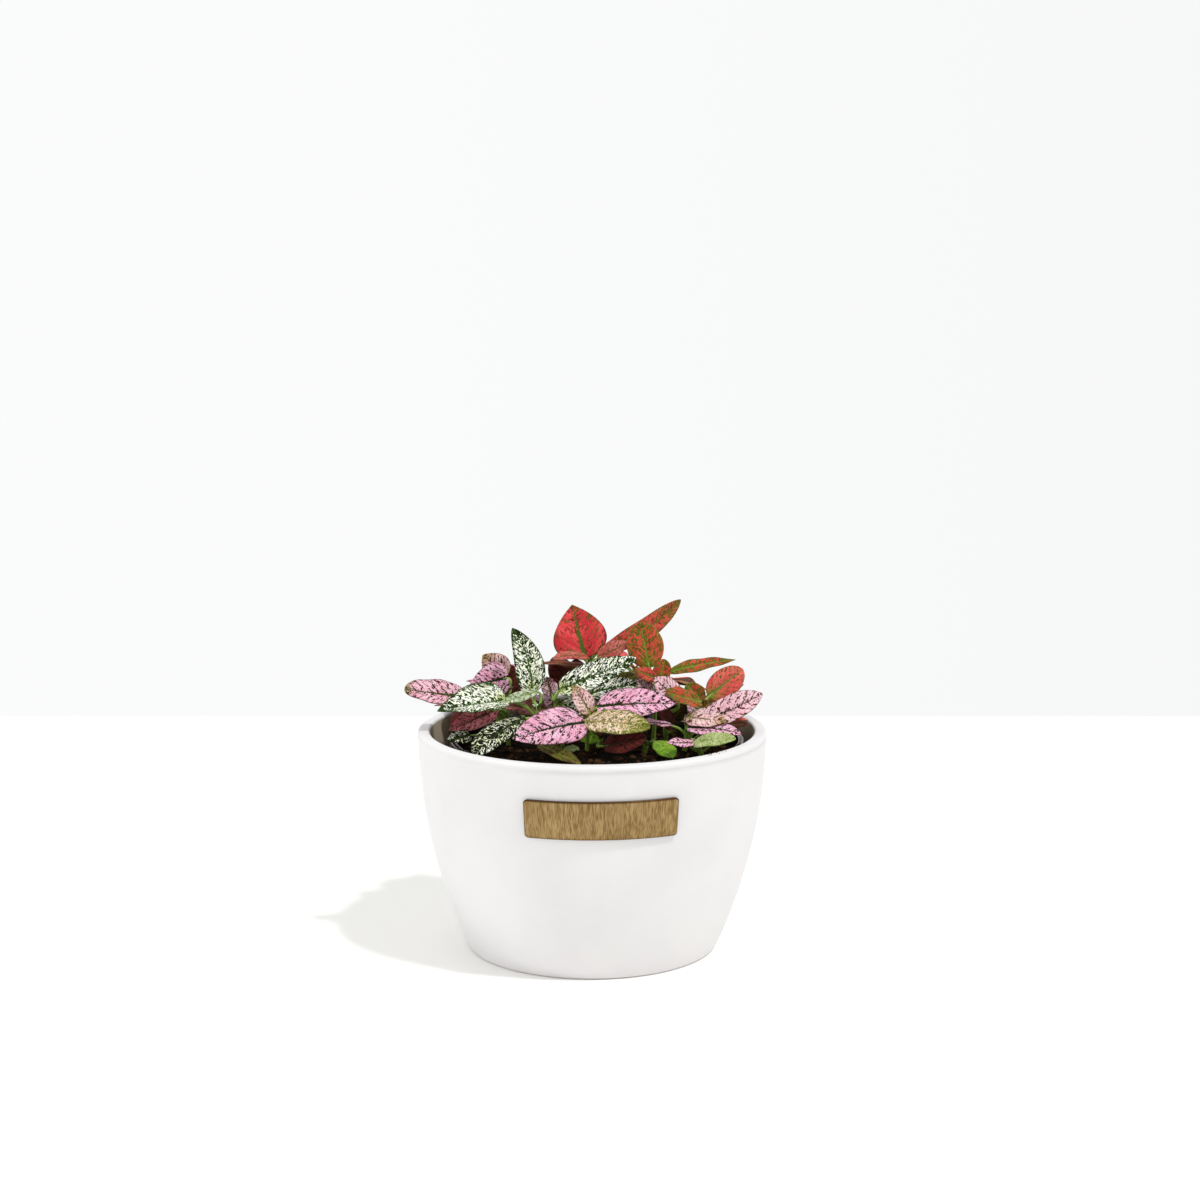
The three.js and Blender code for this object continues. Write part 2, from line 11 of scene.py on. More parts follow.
import bmesh
import bpy
import numpy as np
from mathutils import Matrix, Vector


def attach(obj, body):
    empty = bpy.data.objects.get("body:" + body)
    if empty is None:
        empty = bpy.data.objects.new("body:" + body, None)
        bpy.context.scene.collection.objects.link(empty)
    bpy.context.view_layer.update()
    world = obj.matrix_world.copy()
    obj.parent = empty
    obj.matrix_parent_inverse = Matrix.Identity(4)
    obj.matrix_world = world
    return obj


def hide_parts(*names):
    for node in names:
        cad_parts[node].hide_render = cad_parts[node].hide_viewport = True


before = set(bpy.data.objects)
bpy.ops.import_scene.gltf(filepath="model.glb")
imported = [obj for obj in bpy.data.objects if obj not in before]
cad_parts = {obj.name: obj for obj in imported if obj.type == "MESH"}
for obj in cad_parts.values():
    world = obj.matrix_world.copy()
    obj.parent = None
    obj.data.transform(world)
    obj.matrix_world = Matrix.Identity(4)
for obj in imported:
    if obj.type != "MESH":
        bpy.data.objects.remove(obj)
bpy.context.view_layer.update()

MM = 0.001

# Planter.
POT_HEIGHT = 88.5
RIM_RADIUS = 70.0
FOOT_RADIUS = 50.6
WALL = 5.0
POT_FLOOR = 6.0
FOOT_EDGE = 1.6
LIP_OUTER_EDGE = 1.3
LIP_INNER_EDGE = 1.0
LIP_GROOVE = 0.22
LIP_GROOVE_DEPTH = 2.2
FOOT_RECESS = 0.9
FOOT_RECESS_EDGE = 12.0
FOOT_RING = 9.5
FOOT_RING_EDGE = 0.5
INNER_CORNER = 4.0
POT_SEGMENTS = 192
OUTER_STEPS = 44
INNER_STEPS = 24

# Gap between pieces that touch.
SEAT = 0.3

# Grow pot, set a little to the right.
GROW_SHIFT = 2.0
GROW_TOP = 84.5
GROW_RIM_RADIUS = 59.0
GROW_TOP_RADIUS = 57.5
GROW_FOOT_RADIUS = 42.5
GROW_WALL = 1.0
GROW_RIM_DEPTH = 4.0
GROW_RIM_EDGE = 0.5
GROW_SEGMENTS = 144
DRAIN_HOLES = 6
DRAIN_RADIUS = 3.5
DRAIN_CIRCLE = 27.0
DRAIN_SEGMENTS = 24

# Soil.
SOIL_TOP = 79.5
SOIL_RINGS = 46
SOIL_SEGMENTS = 150
SOIL_ROLL = 0.75
CRUMBS = 900
CRUMB_LEAST = 0.45
CRUMB_SPREAD = 1.5
LIP_CRUMBS = 9
LIP_CRUMB_SIZES = (0.16, 0.42)
LIP_CRUMB_TURNS = (-51, -40)
LIP_CRUMB_DEPTHS = (2.2, 4.2)

# Name plate, bent round the front wall.
PLATE_LENGTH = 59.0
PLATE_HEIGHT = 15.0
PLATE_MIDDLE = 67.7
PLATE_TURN = math.radians(3.2)
PLATE_THICKNESS = 1.0
PLATE_CORNER = 1.6
PLATE_BEVEL = 0.3
PLATE_DARK_RIM = 0.9
PLATE_CORNER_STEPS = 7
PLATE_STEPS = 60

# Stems and stalks.
STEM_RADIUS = 0.95
STEM_ROOT = 9.0
STEM_SIDES = 12
STEM_STEPS = 22
PETIOLE_RADIUS = 0.8
PETIOLE_STEPS = 12
PETIOLE_SIDES = 10

# A stalk joins its stem this far under the stem's top and above the soil at least, and falls
# this much for each millimetre it reaches outward. Its knee lies behind the blade.
JOIN_UNDER_TOP = 0.6
JOIN_OVER_SOIL = 2
JOIN_DROP = 1
PETIOLE_FALL = 0.6
PETIOLE_KNEE = 0.45

# Blades.
BLADE_THICKNESS = 0.36
BLADE_ROWS = 44
BLADE_COLUMNS = 26
BLADE_FOLD = 8
BLADE_END = 0.12
VEINS = 7.5
VEIN_SLOPE = 0.62
VEIN_CURVE = 0.045
GROOVE = 0.14
GROOVE_WIDTH = 0.45
RIDGE = 0.42
RIDGE_WIDTH = 0.5

# Camera, floor and light.
CAMERA_PLACE = (3.14, -865, 274)
CAMERA_DOWN = 8.79
CAMERA_LENS = 66
CAMERA_SENSOR = 36
FLOOR_BACK = 445
FLOOR_REACH = 20000
WORLD_FRONT = 0.75
WORLD_BEHIND = 0.955
WORLD_LEAN = 0.07
WORLD_SPAN = (-0.4, 0.7)
KEY_TOWARD = (40, -32, 88.5)
KEY_STRENGTH = 1.6
KEY_SPREAD = 5.7
FILL_TOWARD = (-85, -30, 35)
FILL_STRENGTH = 0.54
FILL_SPREAD = 35

# Leaf outlines: how fast a blade widens from its base, and how fast it narrows to its tip.
OVATE = (0.55, 0.82)
BROAD = (0.45, 0.75)
WEDGE = (0.36, 0.86)
ROUND = (0.5, 0.56)
OVAL = (0.6, 0.6)
LONG = (0.62, 0.95)
HEART = (0.5, 0.95)
SPADE = (0.36, 0.72)
BLUNT = (0.3, 0.42)
SICKLE = (0.75, 0.7)
PADDLE = (0.7, 0.48)


@dataclass
class Leaf:
    """One leaf: its blade's ends, width, facing (compass turn and lift in degrees), outline,
    look, how far its middle rises out of line and bends sideways, how far each half folds
    up in degrees, and its edge wave."""

    base: tuple
    tip: tuple
    width: float
    facing: tuple
    outline: tuple
    look: str
    rise: float = 0.0
    bend: float = 0.0
    fold: float = BLADE_FOLD
    wave: float = 0.35


@dataclass
class LeafyStem:
    """A stem's foot (x, y) at the soil, its top, and a row of a Leaf's values for each leaf."""

    foot: tuple
    top: tuple
    leaves: list

    def __post_init__(self):
        self.leaves = [Leaf(*row) for row in self.leaves]


LEAFY_STEMS = {
    "pink_leafy_stem_left": LeafyStem((-34, 8), (-35, 9.5, 100), [
        ((-51, -2, 101), (-74.4, -8, 105.5), 13.3, (-90, 52), BLUNT, "pink_green_tip", 0, 0, 14),
        ((-34, 13, 106.5), (-49.7, 9, 103.5), 15, (-90, 26), WEDGE, "pink", 0, 0, 14),
        ((-35.2, 20, 105.5), (-44.7, 18, 114.8), 12, (-110, 30), OVATE, "pale_pink"),
        ((-38, 4, 95), (-57, -6, 88.5), 10, (-90, 38), OVATE, "plum"),
        ((-50.5, 8, 95), (-56.5, 2, 87), 8, (-120, 25), OVATE, "maroon"),
    ]),
    "white_leafy_stem_left": LeafyStem((-21, 0), (-22, -2, 96), [
        ((-34, -5, 100.5), (-61, -15, 98.2), 19, (-90, 58), WEDGE, "white_green", 0.5, 0, 24),
        ((-24.3, 2, 102), (-32, 6, 128), 12.4, (-80, 8), SPADE, "white_green", 0, 2.3, 12),
        ((-26.5, -8, 94), (-45.8, -28, 84), 13, (-110, 50), PADDLE, "moss", 1.5),
        ((-48, -10, 87.5), (-57, -17, 87), 7, (-90, 45), OVATE, "moss"),
        ((-21.5, 0, 103.5), (-37.5, -10, 100), 5, (-90, 40), LONG, "silver"),
    ]),
    "white_leafy_stem_middle": LeafyStem((-12, 4), (-14.5, 1, 97.5), [
        ((-13.5, 0, 103.5), (17.8, -6, 118), 12.5, (-95, 36), BROAD, "white", 0, 0, 14),
        ((-3, 8, 100), (20, 6, 105), 11, (-90, 50), OVATE, "white", 1),
        ((-13, 2, 98), (-2, -4, 94), 11, (-80, 45), OVATE, "white"),
        ((-16, 6, 100), (-18.5, 9, 107.5), 7, (-90, 15), OVATE, "speckled"),
        ((3, 12, 104.5), (19.5, 14, 107), 8, (-90, 50), OVATE, "olive"),
    ]),
    "pink_leafy_stem_middle": LeafyStem((-2, -3), (-2, -7, 93), [
        ((2, -8, 98.5), (32.5, -14, 101), 15, (-90, 45), BROAD, "pink", 1),
        ((-0.5, -9, 96), (-7.6, -9, 107.5), 8.5, (-75, 22), OVATE, "pale_pink"),
        ((-2.8, -11, 92.8), (-30.6, -30.2, 90.4), 17, (-90, 36), BROAD, "pink", 1.5),
        ((-3.5, -9, 93), (22.5, -28, 94.2), 12.8, (-90, 46), ROUND, "cream", 1),
    ]),
    "red_leafy_stem_left": LeafyStem((2, 20), (-1, 17, 111), [
        ((-3, 17, 113.5), (-8.3, 25, 134.4), 22.3, (-92, 8), HEART, "red"),
        ((-1.5, 14, 114.5), (-16, 4, 115.5), 9, (-90, 72), OVATE, "rose", 1),
        ((-2.5, 12, 111), (-21, 16, 112), 9, (-90, 86), OVATE, "rust"),
        ((2, 12, 114.5), (15, 8, 121.5), 9.5, (-100, 45), OVATE, "rose"),
        # These two dark leaves fill a gap that is shade: painted shade.
        ((-9, 21, 100.5), (-16, 20, 113.5), 11, (-90, 12), ROUND, "maroon"),
        ((-5.5, 20.5, 103.5), (-7, 20.5, 112.5), 8, (-90, 12), ROUND, "maroon"),
        ((2, 20, 115.5), (36.3, 28, 136.2), 9.6, (-100, 30), SICKLE, "brick", 0, 3),
    ]),
    "red_leafy_stem_middle": LeafyStem((25, 14), (26, 5, 106), [
        ((23, 4, 112), (19.3, 7, 130), 15, (-85, 8), ROUND, "red_green"),
        ((27, 1, 107), (29, 2, 116), 7.5, (-90, 10), ROUND, "red_green"),
        ((26, 0, 108.5), (16, -2, 112.5), 6.2, (-90, 38), OVATE, "brick"),
        ((30.5, 10, 109), (58, 12, 113.8), 6.8, (-90, 52), LONG, "red_green", 1),
    ]),
    "pink_leafy_stem_back_right": LeafyStem((30, 7), (29, 5, 95), [
        ((34.5, -2, 99.5), (24.5, -4, 109.5), 12, (-60, 30), OVATE, "blush"),
        ((24, 1, 100), (18, -1, 109), 8, (-60, 30), OVATE, "blush"),
        ((33.5, 1.5, 89), (26.5, -3.5, 95), 8.5, (-90, 40), OVATE, "maroon"),
        # A dark leaf filling a gap that is shade: painted shade.
        ((32.3, 6, 90), (37, 4, 98), 8, (-90, 22), ROUND, "olive_dark"),
    ]),
    "red_leafy_stem_right": LeafyStem((38, 4), (44.5, 0, 97), [
        ((46.5, 0, 101), (60.5, 4, 111.5), 12, (-80, 22), ROUND, "salmon"),
        ((44, -0.2, 98.8), (29.2, -8.5, 104.2), 10.5, (-90, 55), ROUND, "red_green"),
        ((44.5, 3, 98.5), (38, 6, 105), 8, (-90, 30), ROUND, "red_green"),
        ((44.5, 1.5, 99), (51.5, 4, 96), 8, (-80, 55), OVATE, "red_green"),
        ((47, 8, 88), (63, 7, 90), 12, (0, 75), OVATE, "red", 1),
    ]),
    "pink_leafy_stem_right": LeafyStem((37, -5), (38, -8, 91), [
        ((42, -8.8, 93), (67.4, -10.5, 104.4), 12.5, (-95, 42), SICKLE, "blush", 0, 1.2, 14),
        ((37.5, -6, 94), (53, -15, 94), 10.5, (-90, 52), BROAD, "pale_pink"),
        ((38, -10, 90.5), (58.7, -20, 90), 10, (-90, 62), BROAD, "pink", 1),
        ((54, -4, 90.5), (62, -8, 91.5), 6, (-90, 60), OVATE, "rust"),
        ((32, -8.5, 91.2), (15, -14, 94.2), 6.5, (-90, 78), OVATE, "pink"),
    ]),
    "green_leafy_stem_right": LeafyStem((43, -18), (42, -20, 84.5), [
        ((39, -25, 87), (55.5, -34, 91.3), 7.2, (-90, 50), ROUND, "pale_green", 1),
        ((41, -24, 87.3), (29.5, -30, 88.6), 6.6, (-90, 68), OVAL, "pink"),
        ((47, -18, 86.5), (38, -22, 86.5), 5.5, (-90, 62), OVATE, "maroon"),
    ]),
    "green_leafy_stem_middle": LeafyStem((3, 2), (3.5, 0, 83.5), [
        ((4.5, -8, 82.5), (21.5, -13, 87), 11, (-90, 45), ROUND, "maroon"),
        ((3.5, 4, 84.5), (-6.5, 4, 83.5), 7.5, (-90, 35), OVATE, "green"),
    ]),
    "green_leafy_stem_low_right": LeafyStem((21, -7), (22, -9, 83), [
        ((25.5, -12, 85.5), (31.5, -27, 82.2), 8.6, (-80, 46), OVAL, "green"),
        ((19, -6, 85), (8, 6, 87), 8, (-90, 70), OVATE, "green"),
    ]),
    "green_leafy_stem_front": LeafyStem((-14, -12), (-14, -14, 83.5), [
        ((-21, -17, 85), (-4, -34, 81), 7, (-100, 60), OVATE, "olive", 0, 0, 20),
        ((-5.5, -12, 83), (-11, -18, 83), 4.5, (-90, 60), OVATE, "pale_green"),
    ]),
    "pink_leafy_stem_behind": LeafyStem((-22, 14), (-20, 12, 92.5), [
        ((-18, 9, 94), (-38, 0, 97.5), 9.5, (-90, 52), OVATE, "maroon_pink"),
        # A dark leaf filling a gap that is shade: painted shade.
        ((-32, 23, 95.5), (-33.5, 24, 109.5), 9, (-90, 15), ROUND, "maroon"),
        ((-28, 18, 92.5), (-48, 20, 93), 11, (90, 75), OVATE, "pink", 1),
        ((-14, 20, 91.5), (2, 36, 92.5), 14, (60, 78), OVATE, "pink", 1),
        ((-20, 20, 93), (-23, 44, 93), 13, (90, 75), OVATE, "pink", 1),
    ]),
    "pink_leafy_stem_back_left": LeafyStem((-36, 28), (-39, 31, 98), [
        ((-45, 28.5, 96), (-59.5, 23, 93.5), 15, (150, 72), OVATE, "pink", 1),
        ((-43, 37, 98.5), (-47.5, 58, 95.5), 16, (125, 66), OVATE, "pink", 2),
        ((-34, 38, 101), (-30, 66, 101), 17, (85, 62), OVATE, "pink", 2),
        ((-43, 25, 95.5), (-58, 16, 95), 11, (-120, 72), OVATE, "pink", 1),
        ((-43, 31, 89), (-66, 36, 90), 14, (160, 70), OVATE, "maroon_pink", 1),
    ]),
    "white_leafy_stem_back": LeafyStem((-8, 40), (-9, 42, 96), [
        ((-8, 50, 97), (-6, 77, 93), 17, (95, 60), OVATE, "white", 2),
        ((1, 46, 98), (24, 62, 97), 16, (60, 62), OVATE, "white", 2),
        ((-15, 38, 99), (-27, 17, 102), 15, (-100, 68), OVATE, "white", 1),
        ((-2, 36, 100), (10, 18, 106), 11, (-80, 65), OVATE, "white", 1),
        ((-14, 46, 88), (-34, 54, 87), 14, (120, 70), OVATE, "white", 1),
    ]),
    "red_leafy_stem_back": LeafyStem((18, 38), (18, 40, 104), [
        ((12, 46, 107), (-4, 68, 110), 18, (110, 50), BROAD, "red", 1.5),
        ((25, 46, 97), (44, 62, 94), 16, (55, 62), OVATE, "red", 2),
        ((26, 34, 100), (48, 29, 98), 14, (20, 70), OVATE, "red_green", 1),
        ((22, 47, 90), (26, 71, 89), 15, (80, 65), OVATE, "rust", 1),
    ]),
    "pink_leafy_stem_back_far_right": LeafyStem((44, 24), (46, 26, 92), [
        ((50, 21, 94), (64, 14, 94), 13, (0, 68), OVATE, "pink", 1),
        ((51, 33, 95), (62, 52, 96), 15, (50, 65), OVATE, "pink", 2),
        ((40, 27, 93), (18, 26, 95), 14, (100, 75), OVATE, "maroon_pink", 1),
        ((44, 34, 86), (37, 50, 87), 12, (80, 75), OVATE, "pink", 1),
    ]),
}


# Node trees.


def srgb(red, green, blue):
    """A colour given as 0 to 255 on screen, as the linear RGBA that a socket takes."""
    def linear(value):
        share = value / 255
        return share / 12.92 if share <= 0.04045 else ((share + 0.055) / 1.055) ** 2.4

    return (linear(red), linear(green), linear(blue), 1.0)


class Signal:
    """A node's output. Each sum, product or ramp of it is made by one more node."""

    def __init__(self, tree, socket):
        self.tree = tree
        self.socket = socket

    def __add__(self, other):
        return self.tree.math("ADD", self, other)

    def __sub__(self, other):
        return self.tree.math("SUBTRACT", self, other)

    def __mul__(self, other):
        return self.tree.math("MULTIPLY", self, other)

    def larger(self, other):
        return self.tree.math("MAXIMUM", self, other)

    def absolute(self):
        return self.tree.math("ABSOLUTE", self)

    def off_whole(self):
        """The distance from the nearest whole number."""
        return self.tree.math("PINGPONG", self, 0.5)

    def ramp(self, low, high):
        """0 at low and 1 at high, smooth between them; low may be the larger one."""
        inputs = {0: self, 1: low, 2: high}
        return self.tree.made("ShaderNodeMapRange", inputs, interpolation_type="SMOOTHSTEP")[0]

    def scaled(self, *factors):
        inputs = {0: self, 1: factors}
        return self.tree.made("ShaderNodeVectorMath", inputs, operation="MULTIPLY")[0]

    def parts(self):
        return self.tree.made("ShaderNodeSeparateXYZ", {0: self})


class Tree:
    """The nodes of a material or a world, each made by one short call."""

    def __init__(self, tree):
        self.tree = tree

    def made(self, kind, inputs, **settings):
        """The outputs of a new node."""
        node = self.tree.nodes.new(kind)
        for key, value in settings.items():
            setattr(node, key, value)
        for key, value in inputs.items():
            self.feed(node.inputs[key], value)
        return [Signal(self, socket) for socket in node.outputs]

    def feed(self, socket, value):
        if isinstance(value, Signal):
            self.tree.links.new(value.socket, socket)
        else:
            socket.default_value = value

    def math(self, operation, first, second=0.0):
        return self.made("ShaderNodeMath", {0: first, 1: second}, operation=operation)[0]

    def mix(self, share, first, second):
        """Between two colours, each a signal or three screen values from 0 to 255."""
        first, second = (c if isinstance(c, Signal) else srgb(*c) for c in (first, second))
        return self.made("ShaderNodeMix", {0: share, 6: first, 7: second}, data_type="RGBA")[2]

    def attribute(self, name):
        node = self.tree.nodes.new("ShaderNodeAttribute")
        node.attribute_name = name
        return Signal(self, node.outputs["Vector"])

    def place(self, kind="Object"):
        """The point on the surface in metres, or, for Generated in a world, the direction."""
        return Signal(self, self.tree.nodes.new("ShaderNodeTexCoord").outputs[kind])

    def noise(self, vector, scale, detail=2.0, distortion=0.0):
        inputs = {"Vector": vector, "Scale": scale, "Detail": detail, "Distortion": distortion}
        return self.made("ShaderNodeTexNoise", inputs)[0]

    def cells(self, vector, scale):
        """The distance to the nearest of many scattered points, and that point's random colour."""
        return self.made("ShaderNodeTexVoronoi", {"Vector": vector, "Scale": scale})[:2]


class Skin(Tree):
    """A material with its shader."""

    def __init__(self, name):
        self.material = bpy.data.materials.new(name)
        self.material.use_nodes = True
        super().__init__(self.material.node_tree)
        self.tree.nodes.clear()
        self.shader = self.tree.nodes.new("ShaderNodeBsdfPrincipled")
        output = self.tree.nodes.new("ShaderNodeOutputMaterial")
        self.tree.links.new(self.shader.outputs[0], output.inputs[0])

    def finish(self, colour, roughness, height=None, depth=0.0, **others):
        """Feeds the shader and gives the material. The relief is that many millimetres deep
        where the height goes from 0 to 1. Other inputs are named with _ for each space."""
        others.update(Base_Color=colour, Roughness=roughness)
        if height:
            inputs = {"Height": height, "Distance": depth * MM, "Strength": 1.0}
            others["Normal"] = self.made("ShaderNodeBump", inputs)[0]
        for name, value in others.items():
            self.feed(self.shader.inputs[name.replace("_", " ")], value)
        return self.material


# Materials.


def glaze_material(name, roughness, dark, light):
    """Off-white ceramic with a faint cloudiness, a fine grain and a few iron specks."""
    tree = Skin(name)
    place = tree.place()
    cloud = tree.noise(place, 30, 3).ramp(0.3, 0.7)
    grain = tree.noise(place, 650, 2)
    distance, pick = tree.cells(place, 75)
    speck = distance.ramp(0.022, 0.012) * pick.parts()[0].ramp(0.93, 0.95)
    colour = tree.mix(speck * 0.55, tree.mix(cloud, dark, light), (120, 105, 90))
    rough = (cloud + grain) * 0.05 + roughness
    return tree.finish(colour, rough, grain + cloud * 1.5, 0.03, Specular_IOR_Level=0.45)


def bisque_material():
    """The bare fired clay of the foot ring."""
    tree = Skin("bare_clay")
    grain = tree.noise(tree.place(), 900, 4)
    return tree.finish(tree.mix(grain, (186, 160, 138), (222, 205, 187)), 0.9, grain, 0.08)


def brass_material():
    """Antique brass, brushed up and down, darker in the brush lines, with patina along the edges
    and a painted shadow line just under the top edge.
    """
    tree = Skin("brushed_brass")
    place = tree.place()
    fine = tree.noise(place.scaled(1.0, 1.0, 0.001), 3000, 3)
    broad = tree.noise(place.scaled(1.0, 1.0, 0.003), 900, 2)
    brushed = fine * 0.65 + broad * 0.35
    lines = brushed.ramp(0.38, 0.62)
    cloud = tree.noise(place.scaled(1.0, 1.0, 0.35), 110, 3)
    colour = tree.mix(lines, (124, 98, 59), (168, 142, 98))
    colour = tree.mix(cloud.ramp(0.45, 0.75) * 0.3, colour, (116, 90, 54))
    rim, under_top, _ = tree.attribute("plate_edge").parts()
    # Patina darkens every edge; the darker band just under the top edge is painted shade, a shadow
    # line.
    edge_patina_and_painted_shade = (rim.ramp(0.8, 0.05) * 0.75).larger(under_top.ramp(0.75, 0.35) * 0.9)
    colour = tree.mix(edge_patina_and_painted_shade, colour, (70, 46, 24))
    rough = lines * -0.08 + cloud * 0.1 + 0.4
    return tree.finish(colour, rough, brushed, 0.008, Metallic=1.0)


def plastic_material():
    """Thin black moulded plastic, dusty with soil."""
    tree = Skin("black_plastic")
    place = tree.place()
    dust = tree.noise(place, 160, 4).ramp(0.56, 0.8)
    colour = tree.mix(dust * 0.35, (19, 18, 17), (84, 68, 55))
    return tree.finish(colour, dust * 0.4 + 0.1, tree.noise(place, 500, 1), 0.01)


def soil_material(name, dark, light):
    """Damp potting soil; the tone attribute lightens single crumbs."""
    tree = Skin(name)
    place = tree.place()
    coarse = tree.noise(place, 260, 5)
    fine = tree.noise(place, 1500, 3)
    tone = tree.attribute("crumb_tone").parts()[0]
    colour = tree.mix(coarse.ramp(0.35, 0.75) * 0.5 + tone * 0.5, dark, light)
    height = coarse + fine * 0.4
    return tree.finish(colour, fine * 0.2 + 0.78, height, 0.5, Specular_IOR_Level=0.04)


def flesh(weight, radius, scale):
    """How light scatters inside: its share, how far each colour goes, and the reach in mm."""
    reach = scale * MM
    return {"Subsurface_Weight": weight, "Subsurface_Radius": radius, "Subsurface_Scale": reach}


def stalk_material():
    """Green stems and leaf stalks, flushed with dull purple low down and streaked lengthwise."""
    tree = Skin("stalk_skin")
    place = tree.attribute("stalk_place")
    streak = tree.noise(place, 0.9, 3)
    colour = tree.mix(streak.ramp(0.3, 0.7), (108, 142, 46), (164, 194, 88))
    flush = place.parts()[2].ramp(0.2, 1.0) * streak.ramp(0.35, 0.6)
    colour = tree.mix(flush * 0.55, colour, (112, 62, 52))
    return tree.finish(colour, 0.42, streak, 0.12, **flesh(0.15, (1.0, 0.9, 0.4), 0.8))


@dataclass
class Look:
    """How a kind of leaf is coloured. The splash is the bright colour and the ground the dark
    one that is left of the green leaf, in flecks, along the side veins and at the midrib.
    Cover is the noise level above which flecks show, and each pull is how much more of them
    there are near that part of the blade. Gap is how broken the vein lines are."""

    splash: tuple
    splash_deep: tuple
    ground: tuple
    ground_deep: tuple
    under: tuple
    rib: tuple
    margin: tuple
    cover: float
    fleck: tuple = (1.6, 1.15)
    gap: float = 0.42
    rib_width: float = 0.62
    vein_pull: float = 0.03
    rib_pull: float = 0.03
    edge_pull: float = 0.02
    tip_pull: float = 0.0
    heart: tuple = None
    heart_reach: float = 0.3
    tip: tuple = None
    tip_from: float = 0.6
    soft: float = 0.016
    stray: float = 1.5


PINK = (240, 190, 211)
PINK_DEEP = (236, 168, 195)
DARK_GREEN = (36, 44, 12)
DARK_MAROON = (66, 26, 30)
UNDER_PINK = (132, 68, 64)
UNDER_WHITE = (112, 122, 78)
UNDER_RED = (124, 58, 40)
UNDER_GREEN = (112, 140, 60)
LIME = (156, 172, 74)

